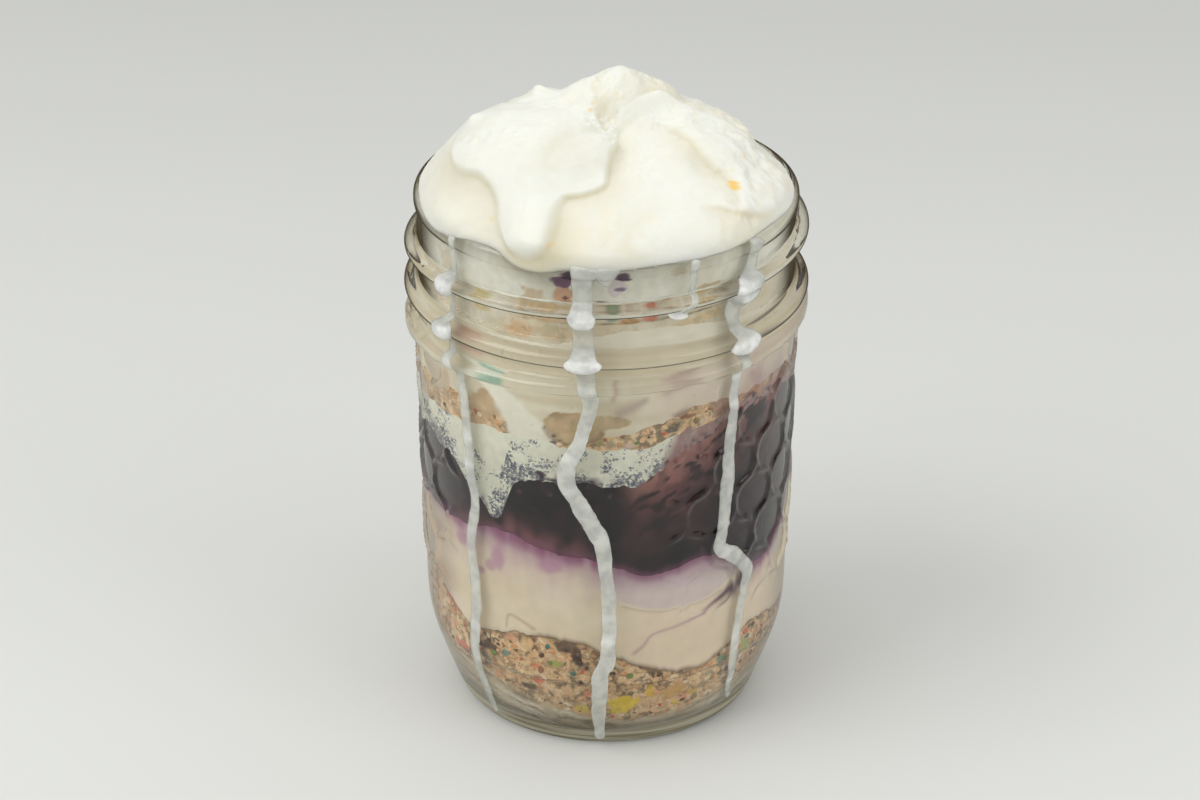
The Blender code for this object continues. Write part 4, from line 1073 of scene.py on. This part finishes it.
# Folds: (angle, tilt from upright, strength) along each, then how proud one side stands and how wide.
FOLDS = [
    ([(10, 12.5, 0.0), (21, 17.8, 0.4), (12, 25, 0.9), (4, 32.8, 1.0), (0, 47, 1.0), (-1, 54, 1.0),
      (-10, 59, 1.0), (-18, 61.3, 1.0), (-19, 66, 1.0), (-17.5, 70.5, 1.2), (-17, 75, 1.5),
      (-18.5, 78.2, 1.7), (-22, 80.4, 1.7), (-25.5, 79.8, 1.6), (-29, 77.8, 1.2), (-33, 74.5, 0.5),
      (-37, 71.5, 0.0)], 1.0, 1.3),
    ([(-84, 58, 0.2), (-77, 61.3, 0.8), (-69, 63.5, 1.0), (-60, 63.5, 1.0), (-52, 62, 1.0), (-44, 65, 0.9),
      (-39, 70, 0.9), (-34.5, 74.5, 0.8), (-30.5, 78, 0.5), (-27, 80.5, 0.1)], -0.75, 1.5),
    ([(71, 32.8, 0.5), (68, 42.5, 0.9), (63, 51.5, 1.0), (61, 58.2, 1.0), (61, 65.0, 0.9), (54, 68.8, 0.5)],
     -0.75, 1.2),
    ([(34, 67, 0.1), (40, 68.8, 0.8), (46, 71.8, 1.0), (56, 76.2, 0.7), (64, 77, 0.2)], -0.7, 1.1),
    ([(-120, 7, 0.2), (-70, 6, 0.7), (-35, 9, 0.8), (-14, 13, 0.6), (8, 15, 0.1)], 0.7, 1.2),
    ([(20, 80, 0.0), (8, 76, 0.5), (14, 70, 0.4), (30, 66, 0.0)], 0.4, 1.8),
    ([(-28, 20, 0.0), (-38, 34, 0.4), (-36, 48, 0.4), (-30, 58, 0.0)], 0.3, 2.5),
    ([(95, 14, 0.3), (110, 24, 0.9), (104, 36, 0.9), (98, 50, 0.8), (92, 62, 0.4)], 0.9, 1.3),
    ([(150, 30, 0.3), (160, 48, 1.0), (172, 60, 1.0), (190, 66, 0.8), (205, 62, 0.2)], 0.8, 1.5),
    ([(-120, 40, 0.2), (-126, 55, 1.0), (-140, 66, 0.9), (-160, 70, 0.2)], 0.7, 1.4),
]


def cream_reach(angle, tilt):
    """Distance from the mound's heart to the surface of the melted-together spoonfuls."""
    dx, dy, dz = np.sin(tilt) * np.sin(angle), -np.sin(tilt) * np.cos(angle), np.cos(tilt)
    near, far = np.zeros_like(dx), np.full_like(dx, CREAM_FARTHEST)
    for _ in range(HALVINGS):
        middle = 0.5 * (near + far)
        total = 0.0
        for (cx, cy, cz), (rx, ry, rz) in SPOONFULS:
            off = np.sqrt(((dx * middle - cx) / rx) ** 2 + ((dy * middle - cy) / ry) ** 2
                          + ((CREAM_HEART_Z + dz * middle - cz) / rz) ** 2)
            total = total + np.exp((1.0 - off) * min(rx, ry, rz) / CREAM_SOFTNESS)
        near = np.where(total > 1.0, middle, near)
        far = np.where(total > 1.0, far, middle)
    return near


def way(angle, tilt):
    return np.stack([np.sin(tilt) * np.sin(angle), -np.sin(tilt) * np.cos(angle), np.cos(tilt)], -1)


def fold_lift(directions):
    """Height of the fold lips, and the painted shade of each place: deepest in a fold's crease and
    spreading over its low side.
    """
    lift, crease_shade = np.zeros(directions.shape[:-1]), np.zeros(directions.shape[:-1])
    for route, proud, wide in FOLDS:
        route = np.array(route, float)
        line = smooth_line(np.column_stack([way(*np.radians(route[:, :2]).T), route[:, 2]]), 0.03)
        power = np.clip(line[:, 3], 0.0, 1.8)
        line = line[:, :3] / np.linalg.norm(line[:, :3], axis=1, keepdims=True)
        nearest, side, force = (np.full(lift.shape, value) for value in (9.0, 0.0, 0.0))
        for place in range(len(line) - 1):
            along = line[place + 1] - line[place]
            share = np.clip(((directions - line[place]) @ along) / (along @ along + 1e-12), 0.0, 1.0)
            off = directions - line[place] - share[..., None] * along
            crevice_shade = np.linalg.norm(off, axis=-1)
            hand = np.sign(np.cross(along, off) @ (line[place] + line[place + 1]))
            closer = crevice_shade < nearest
            side = np.where(closer, hand, side)
            force = np.where(closer, power[place] * (1 - share) + power[place + 1] * share, force)
            nearest = np.minimum(nearest, crevice_shade)
        off = nearest * 25.0 * side * np.sign(proud) / wide
        high = 0.75 * np.exp(-(np.minimum(off + 0.2, 0.0) / 3.2) ** 2)
        low = -0.5 * np.exp(-(np.maximum(off - 0.3, 0.0) / 2.8) ** 2)
        step = soft_step(off, -0.45, 0.5)
        lift += abs(proud) * force * (high * (1.0 - step) + low * step)
        shaded = np.maximum(np.exp(-((off - 0.55) / 0.6) ** 2), 0.8 * step * np.exp(-(off / 4.0) ** 2))
        crease_shade = np.maximum(crease_shade, force * shaded)
    return lift, crease_shade


def trim_line(step):
    """The glass rim's section from outside to inside, which the cream rests on."""
    section = np.vstack([[(RIM_RADIUS, RIM_CURVE_Z - 0.5)], rim[2:], inner_rim,
                         [(BORE_NECK, RIM_CURVE_Z - 2.0)]])
    return smooth_line(section, step)


columns = np.radians(np.linspace(-180.0, 180.0, CREAM_COLUMNS, endpoint=False))
tilts = np.radians(np.linspace(0.0, 92.0, 240))
scan_angle, scan_tilt = np.meshgrid(columns, tilts)
scan = cream_reach(scan_angle, scan_tilt)
scan_r, scan_z = scan * np.sin(scan_tilt), CREAM_HEART_Z + scan * np.cos(scan_tilt)
roof = np.interp(scan_r, [BORE_NECK, BORE_NECK + 0.5, RIM_CREST, RIM_RADIUS - 0.4, RIM_RADIUS + 0.02],
                 [RIM_CURVE_Z, RIM_Z - 0.3, RIM_Z, RIM_Z - 0.45, RIM_CURVE_Z - 0.45])
landed = (scan_z < roof + 0.02) & (scan_r > BORE_NECK - 0.2) & (scan_r < RIM_RADIUS + 0.05)
landed |= (scan_z < RIM_CURVE_Z - 0.45) & (scan_r > RIM_RADIUS)
landed |= (scan_r <= BORE_NECK) & (scan_z < RIM_CURVE_Z)
landed[-1] = True
edge_tilt = tilts[np.argmax(landed, axis=0)]
share = np.linspace(0.0, 1.0, CREAM_ROWS + 1)[1:, None]
tilt = edge_tilt[None, :] * (share * 1.12 - 0.12 * share ** 2.2)
angle = np.broadcast_to(columns[None, :], tilt.shape)
directions = way(angle, tilt)
reach = cream_reach(angle, tilt)
lift, crease_shade = fold_lift(directions)
ball = directions * 27.0
swirl = 0.45 * drift(ball, 7.0, 101) + 0.22 * drift(ball, 3.2, 102) + 0.10 * drift(ball, 1.5, 103) \
    + 0.05 * drift(ball, 0.8, 104)
rough = soft_step(drift(ball, 9.0, 105), 0.1, 0.6) + np.exp(-(np.degrees(tilt) / 16.0) ** 2)
for at, lean, size, force in TORN:
    off = np.linalg.norm(directions - way(radians(at), radians(lean)), axis=-1) / size
    rough = rough + force * np.exp(-off ** 2)
swirl = swirl + rough * (0.20 * drift(ball, 1.3, 106) + 0.10 * drift(ball, 0.65, 107))
for at, lean, size, height in KNOBS:
    off = np.linalg.norm(directions - way(radians(at), radians(lean)), axis=-1) / size
    swirl = swirl + height * np.exp(-off ** 2)
settle = soft_step(1.0 - share, 0.0, 0.06)
reach = reach + (lift + swirl - 0.15) * (0.15 + 0.85 * settle)
cream_low, cream_high = (np.array(corner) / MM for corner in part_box("whipped_cream"))
surface = directions * reach[..., None] + (0, 0, CREAM_HEART_Z)
surface_r = np.hypot(surface[..., 0], surface[..., 1])
spare = np.clip(surface_r - RIM_RADIUS - 0.1, 0.0, None)
drape = 0.7 + 0.6 * np.exp(-(around(np.degrees(angle), -18.0) / 32.0) ** 2)
settled = soft_step(RIM_Z + 6.0 - surface[..., 2], 0.0, 6.5)
held_r = surface_r - settled * (spare - drape * np.tanh(spare / 1.6))
surface[..., :2] *= (held_r / surface_r)[..., None]
surface = np.clip(surface, cream_low - (1.2, 2.4, 0.0) + 0.02, cream_high + (1.2, 0.5, 0.0) - 0.02)
section = trim_line(0.35)
underside = []
edge_r = np.hypot(surface[-1, :, 0], surface[-1, :, 1])
edge_place = np.array([np.argmin(np.hypot(section[:, 0] - r, section[:, 1] - height))
                       for r, height in zip(edge_r, surface[-1, :, 2])])
for step in np.linspace(0.0, 1.0, UNDER_ROWS + 1)[1:]:
    place = edge_place + (len(section) - 1 - edge_place) * step
    r = np.interp(place, np.arange(len(section)), section[:, 0])
    height = np.interp(place, np.arange(len(section)), section[:, 1])
    underside.append(turned(r, np.degrees(columns), height - 0.06))
deep = [underside[-1] * (part, part, 1.0) for part in (0.92, 0.5)]
rings = np.concatenate([surface, underside, deep])[::-1]
mound = skin("whipped_cream_mound", rings, (0, 0, deep[-1][:, 2].mean()),
             (0, 0, CREAM_HEART_Z + float(reach[0].mean())))
# Painted shade in the folds' creases and over their low sides.
ivory = lay(np.broadcast_to(paint(239, 239, 228), surface.shape), paint(226, 219, 192), 0.8 * crease_shade)
# A beige tint over the places torn rough.
rough_tint = 0.4 * np.clip(rough, 0.0, 1.0) * soft_step(drift(ball, 1.6, 108), 0.1, 0.7)
ivory = lay(ivory, paint(238, 231, 208), rough_tint)
for at, lean, size, force in ((59.0, 65.8, 0.022, 1.0), (57.0, 66.5, 0.026, 1.0), (55.2, 67.1, 0.020, 1.0),
                              (-52, 9.8, 0.020, 0.7), (-40, 73.2, 0.016, 0.35), (-16, 75.5, 0.014, 0.3),
                              (64, 62.4, 0.012, 0.4), (-64, 7.0, 0.016, 0.35)):
    off = np.linalg.norm(directions - way(radians(at), radians(lean)), axis=-1) / size
    fleck = 1.0 - soft_step(off + 0.3 * drift(ball, 0.9, 109), 0.35, 1.2)
    ivory = lay(ivory, paint(242, 204, 116), force * fleck)
tail = np.broadcast_to(paint(238, 236, 222), (len(underside) + 2, CREAM_COLUMNS, 3))
tints = np.concatenate([ivory, tail])[::-1].reshape(-1, 3)
stain(mound, np.vstack([tints, tints[:1], tints[-1:]]))
whipped_finish = food_finish("Whipped cream", 0.45, 0.35, 700.0, 0.01, 0.15, 0.6)
give(mound, whipped_finish, "whipped_cream", "whipped_cream")

# ============================================================================ THE DRIPS
# Thin cream that ran down the outside of the glass and set: narrow half-round runs that
# swell into beads where they cross the thread and the ring, and a short splash at the rim.

# Each run: (angle, height, half width) along it, then its beads: (height, half width, half height).
DRIPS = {
    "left": ([(-51, 96.2, 0.8), (-51, 93, 0.7), (-51.5, 85, 0.6), (-52.5, 79.5, 0.7), (-51, 74.5, 1.0),
              (-48, 70, 1.1), (-46.5, 63, 1.1), (-45, 53, 1.15), (-43.5, 47, 1.1), (-45.5, 39, 1.15),
              (-44.5, 28, 1.15), (-46, 15, 1.1), (-46, 6, 1.0), (-45, 2, 0.7)],
             [(87.4, 2.1, 1.9), (79.0, 2.5, 1.7)]),
    "centre": ([(-6, 96.4, 2.8), (-6.6, 94.6, 2.0), (-7, 92.6, 1.6), (-7, 88, 1.6), (-7, 84, 1.7),
                (-6.5, 79, 1.7), (-5.5, 74.5, 1.5), (-4.5, 71, 1.35), (-7.5, 64.5, 1.25), (-12.5, 57, 1.6),
                (-8, 51.5, 1.55), (-3, 46.5, 1.6), (-1, 43, 1.35), (0.5, 35, 1.25), (0.5, 22, 1.3),
                (-2, 17, 1.45), (-2.5, 9, 1.3), (-2.5, 1.2, 1.1)],
               [(87.0, 2.3, 2.0), (78.9, 3.0, 1.5)]),
    "right": ([(50, 96.2, 1.8), (48, 93, 1.3), (46, 90.2, 1.3), (43, 87, 1.1), (39.4, 84.9, 1.7),
               (40.5, 81.6, 0.9), (42, 78.9, 1.0), (41.5, 73, 1.0), (40, 63, 1.1), (39, 51, 1.4),
               (38, 43, 1.3), (37, 39.6, 1.4), (43, 37, 1.4), (49, 32.6, 1.3), (46.5, 27, 1.0),
               (44.5, 17, 1.0), (47, 9, 0.8), (51, 4.5, 0.6)],
              [(87.6, 3.1, 2.1), (78.7, 3.1, 1.9)]),
    "splash": ([(0.4, 96.4, 2.5), (0.2, 94.9, 2.0), (-0.8, 93.5, 1.3), (-1.8, 92.5, 0.7)], []),
    "short": ([(26, 96.0, 0.9), (26, 91.6, 0.6), (24, 88.4, 0.6), (21.5, 86.6, 0.8), (21, 85.4, 0.7)],
              [(86.2, 2.0, 0.9)]),
    "back_right": ([(131, 96.0, 1.4), (130, 88, 0.9), (131, 79.2, 1.0), (128, 66, 1.1), (131, 52, 1.2),
                    (127, 38, 1.2), (129, 24, 1.1), (128, 11, 0.9)], [(87.6, 2.2, 1.8), (78.9, 2.5, 1.6)]),
    "back": ([(181, 96.0, 1.6), (182, 86, 1.0), (183, 79.2, 1.1), (180, 64, 1.2), (184, 50, 1.3),
              (181, 40, 1.2), (182, 34, 1.4)], [(86.0, 2.3, 1.9), (78.9, 2.6, 1.6), (35.0, 1.9, 2.0)]),
    "back_left": ([(236, 96.0, 1.3), (235, 87, 0.9), (237, 79.2, 1.0), (234, 68, 1.1), (238, 55, 1.2),
                   (235, 38, 1.2), (237, 20, 1.0), (236, 5, 0.8)], [(86.8, 2.0, 1.7), (78.9, 2.3, 1.6)]),
}


def glass_surface(angle, z):
    """Outer radius of the glass, thread included but not the quilting."""
    return np.interp(z, outer_wall[:, 1], outer_wall[:, 0]) + thread_rise(around(angle, 0.0), z)


def run_tree():
    """A run of cream swept along its route: rounded, as wide as the route's own values say,
    with its sides made uneven."""
    tree, given = new_tree("cream_run", Thickness="Float", Unevenness="Float", Lump_Scale="Float")
    route = add_node(tree, "GeometryNodeMeshToCurve", Mesh=given["Geometry"])
    outward = add_node(tree, "GeometryNodeInputNamedAttribute", {"data_type": "FLOAT_VECTOR"},
                       Name="outward")
    upright = add_node(tree, "GeometryNodeSetCurveNormal", {"mode": "FREE"}, Curve=route.outputs["Curve"],
                       Normal=outward.outputs["Attribute"])
    width = add_node(tree, "GeometryNodeInputNamedAttribute", Name="width")
    circle = add_node(tree, "GeometryNodeCurvePrimitiveCircle", Resolution=20, Radius=1.0)
    squash = add_node(tree, "ShaderNodeCombineXYZ", X=given["Thickness"], Y=1.0, Z=1.0)
    section = add_node(tree, "GeometryNodeTransform", Geometry=circle.outputs["Curve"],
                       Scale=squash.outputs["Vector"])
    swept = add_node(tree, "GeometryNodeCurveToMesh", Curve=upright.outputs["Curve"],
                     Profile_Curve=section.outputs["Geometry"], Scale=width.outputs["Attribute"],
                     Fill_Caps=True)
    where = tree.nodes.new("GeometryNodeInputPosition").outputs["Position"]
    lumps = add_node(tree, "ShaderNodeTexNoise", Vector=where, Scale=given["Lump Scale"], Detail=2.0)
    centred = add_node(tree, "ShaderNodeMath", {"operation": "SUBTRACT"}, _0=lumps.outputs["Fac"], _1=0.5)
    amount = add_node(tree, "ShaderNodeMath", {"operation": "MULTIPLY"}, _0=centred.outputs[0],
                      _1=given["Unevenness"])
    facing = tree.nodes.new("GeometryNodeInputNormal").outputs["Normal"]
    uneven = add_node(tree, "GeometryNodeSetPosition", Geometry=swept.outputs["Mesh"],
                      Offset=scaled(tree, facing, amount.outputs[0]))
    smooth = add_node(tree, "GeometryNodeSetShadeSmooth", Geometry=uneven.outputs["Geometry"])
    whole = add_node(tree, "GeometryNodeRealizeInstances", Geometry=smooth.outputs["Geometry"])
    end_tree(tree, whole.outputs["Geometry"], given["Finish"])
    return tree


def drip(name, route, beads):
    """One run of cream, laid on the glass, with its beads hung on the thread and the ring."""
    line = smooth_line([(a * GLASS_ARC, h, w) for a, h, w in route], 0.3)
    kernel = np.hanning(13)[1:-1]
    eased = np.pad(line, ((5, 5), (0, 0)), mode="edge")
    line = np.stack([np.convolve(eased[:, n], kernel / kernel.sum(), "valid") for n in range(3)], 1)
    seed = sum(map(ord, name))
    wander = turned(20.0, line[:, 0] * 5.0, line[:, 1])
    half = line[:, 2] * (1.0 + 0.12 * drift(wander, 2.2, seed) + 0.08 * drift(wander, 0.9, seed + 2))
    full = 0.74 + 0.16 * drift(wander, 2.5, seed + 3)
    full = full - 0.30 * soft_step(line[:, 1], 73.0, 78.0) * (1.0 - soft_step(line[:, 1], 91.0, 94.5))
    for height, wide, tall in beads:
        off = (line[:, 1] - height) / tall
        swell = np.sqrt(np.clip(1.0 - off ** 2, 0.0, 1.0))
        shoulder = np.exp(-(off / 1.5) ** 2) * (off > 0.0)
        half = np.maximum(half + 0.4 * (wide - half) * shoulder, wide * swell)
        full = full + (1.0 - full) * np.maximum(swell, 0.8 * shoulder)
    centre = line[:, 0] / GLASS_ARC + 0.5 * drift(wander, 3.0, seed + 1)
    ends = np.minimum(np.arange(len(line)), np.arange(len(line))[::-1]) / 3.0
    half = half * np.sqrt(np.clip(1.0 - (1.0 - np.clip(ends, 0.0, 1.0)) ** 2, 0.03, 1.0))
    ground = bpy.data.meshes.new(name)
    ground.from_pydata((turned(RUN_RADIUS, centre, line[:, 1]) * MM).tolist(),
                       [(n, n + 1) for n in range(len(line) - 1)], [])
    ground.attributes.new("width", "FLOAT", "POINT").data.foreach_set("value", half * MM)
    ground.attributes.new("fullness", "FLOAT", "POINT").data.foreach_set("value", full)
    outward = turned(1.0, centre, 0.0 * centre)
    ground.attributes.new("outward", "FLOAT_VECTOR", "POINT").data.foreach_set("vector", outward.ravel())
    piece = grown("drip_" + name, ground, cream_run,
                  {"Thickness": 0.45, "Unevenness": 0.00022, "Lump Scale": 500.0, "Finish": milk_material})
    points, radius = points_of(piece)
    angle = np.degrees(np.arctan2(points[:, 0], -points[:, 1]))
    proud = np.clip(radius - RUN_RADIUS, -0.10, RUN_THICKEST)
    proud = proud / (1.0 + 0.25 * np.clip(proud, 0.0, None))
    laid = glass_surface(angle, points[:, 2]) + proud
    for height, wide, tall in beads:
        middle = np.interp(height, line[::-1, 1], centre[::-1])
        across = around(angle, middle) * GLASS_ARC / wide
        inside = 1.0 - across ** 2 - ((points[:, 2] - height) / tall) ** 2
        hung_on = glass_surface(np.array([middle]), np.array([height + 0.2]))[0]
        drop = hung_on + 1.15 * np.sqrt(np.clip(inside, 0.0, 1.0))
        laid = np.where((inside > 0.0) & (proud > 0.1), np.maximum(laid, drop), laid)
    laid = np.minimum(laid, CREAM_REACH_LIMIT)
    points[:, :2] *= (laid / radius)[:, None]
    points[:, 2] = np.clip(points[:, 2], 0.3, 200.0)
    piece.data.vertices.foreach_set("co", (points * MM).ravel())
    return piece


RUN_RADIUS, RUN_THICKEST = 32.5, 1.35
CREAM_REACH_LIMIT = 35.9
GLASS_ARC = 0.57             # millimetres of the jar's outside to a degree
milk_material, tree, shader = new_finish("Milky drips", 0.3, 0.45)
place = on_piece(tree)
full = kept(tree, "fullness")
clots = speckle(tree, place, 480.0, 4.0)
milk = blend(tree, band(tree, full, 0.75, 0.97), paint(227, 228, 219), paint(248, 248, 244))
milk = blend(tree, band(tree, clots, 0.38, 0.66, 0.0, 0.5), milk, paint(192, 197, 196))
tree.links.new(milk, shader.inputs["Base Color"])
thickness = add_node(tree, "ShaderNodeMath", {"operation": "ADD"}, _0=full, _1=0.16).outputs[0]
cover = add_node(tree, "ShaderNodeMath", {"operation": "MULTIPLY_ADD", "use_clamp": True},
                 _0=clots, _1=-0.35, _2=thickness)
rim_fade = add_node(tree, "ShaderNodeLayerWeight", Blend=0.35).outputs["Facing"]
soft_cover = times(tree, cover.outputs[0], band(tree, rim_fade, 0.30, 0.92, 1.0, 0.25))
tree.links.new(soft_cover, shader.inputs["Alpha"])
bumped(tree, shader, clots, 0.2, 0.0005)
cream_run = run_tree()
for name, (route, beads) in DRIPS.items():
    give(drip(name, route, beads), milk_material, "milky_drips", "jar")

# ============================================================================ THE STUDIO
# A pale floor, one large soft lamp from the upper left, a weaker one on the right and a
# soft room light. The camera looks down on the jar's front.

floor = bpy.data.objects.new("floor", bpy.data.meshes.new("floor"))
floor.data.from_pydata([(-3, -3, 0), (3, -3, 0), (3, 3, 0), (-3, 3, 0)], [], [(0, 1, 2, 3)])
bpy.context.scene.collection.objects.link(floor)
floor_finish, tree, shader = new_finish("Pale floor", 0.7, 0.2)
place = on_piece(tree)
pale = add_node(tree, "ShaderNodeMapRange", Value=speckle(tree, place, 3.0, 3.0), To_Min=0.70, To_Max=0.74)
tone = add_node(tree, "ShaderNodeCombineColor", Red=pale.outputs["Result"], Green=pale.outputs["Result"],
                Blue=pale.outputs["Result"])
warm = add_node(tree, "ShaderNodeVectorMath", {"operation": "MULTIPLY"}, _0=tone.outputs["Color"],
                _1=(1.0, 1.01, 0.96))
# Painted shade: the floor darkens towards the back.
along = add_node(tree, "ShaderNodeSeparateXYZ", _0=place).outputs["Y"]
shaded_to_back = scaled(tree, warm.outputs["Vector"], band(tree, along, -0.05, 0.55, 1.0, 0.76))
tree.links.new(shaded_to_back, shader.inputs["Base Color"])
floor.data.materials.append(floor_finish)


def soft_lamp(name, place, size, watts):
    lamp = bpy.data.lights.new(name, "AREA")
    lamp.shape = "RECTANGLE"
    lamp.size, lamp.size_y = size
    lamp.energy = watts
    holder = bpy.data.objects.new(name, lamp)
    bpy.context.scene.collection.objects.link(holder)
    holder.location = place
    aim = -np.array(place) + (0, 0, 0.06)
    holder.rotation_euler = Vector(aim).to_track_quat("-Z", "Y").to_euler()


soft_lamp("window_left", (-0.75, -0.35, 0.95), (0.8, 0.8), 5.6)
soft_lamp("window_right", (0.9, -0.5, 0.5), (0.7, 0.7), 2.6)

room = bpy.data.worlds.new("room")
bpy.context.scene.world = room
room.use_nodes = True
tree = room.node_tree
aim = add_node(tree, "ShaderNodeSeparateXYZ", _0=add_node(tree, "ShaderNodeTexCoord").outputs["Generated"])
sky = blend(tree, band(tree, aim.outputs["Z"], 0.15, 0.65), (0.14, 0.12, 0.09), (0.97, 0.98, 1.0))
tree.links.new(sky, tree.nodes["Background"].inputs["Color"])
tree.nodes["Background"].inputs["Strength"].default_value = 0.92

camera = bpy.data.objects.new("camera", bpy.data.cameras.new("camera"))
bpy.context.scene.collection.objects.link(camera)
bpy.context.scene.camera = camera
camera.data.sensor_width = 36.0
camera.data.lens = 100.8
camera.data.clip_start = 0.01
LOOK_DOWN, DISTANCE = radians(27.56), 0.5901
AIM = (-0.00108, 0.0, 0.05477)
camera.location = (AIM[0], AIM[1] - DISTANCE * np.cos(LOOK_DOWN), AIM[2] + DISTANCE * np.sin(LOOK_DOWN))
camera.rotation_euler = (pi / 2 - LOOK_DOWN, 0.0, 0.0)
bpy.context.scene.view_settings.view_transform = "Standard"
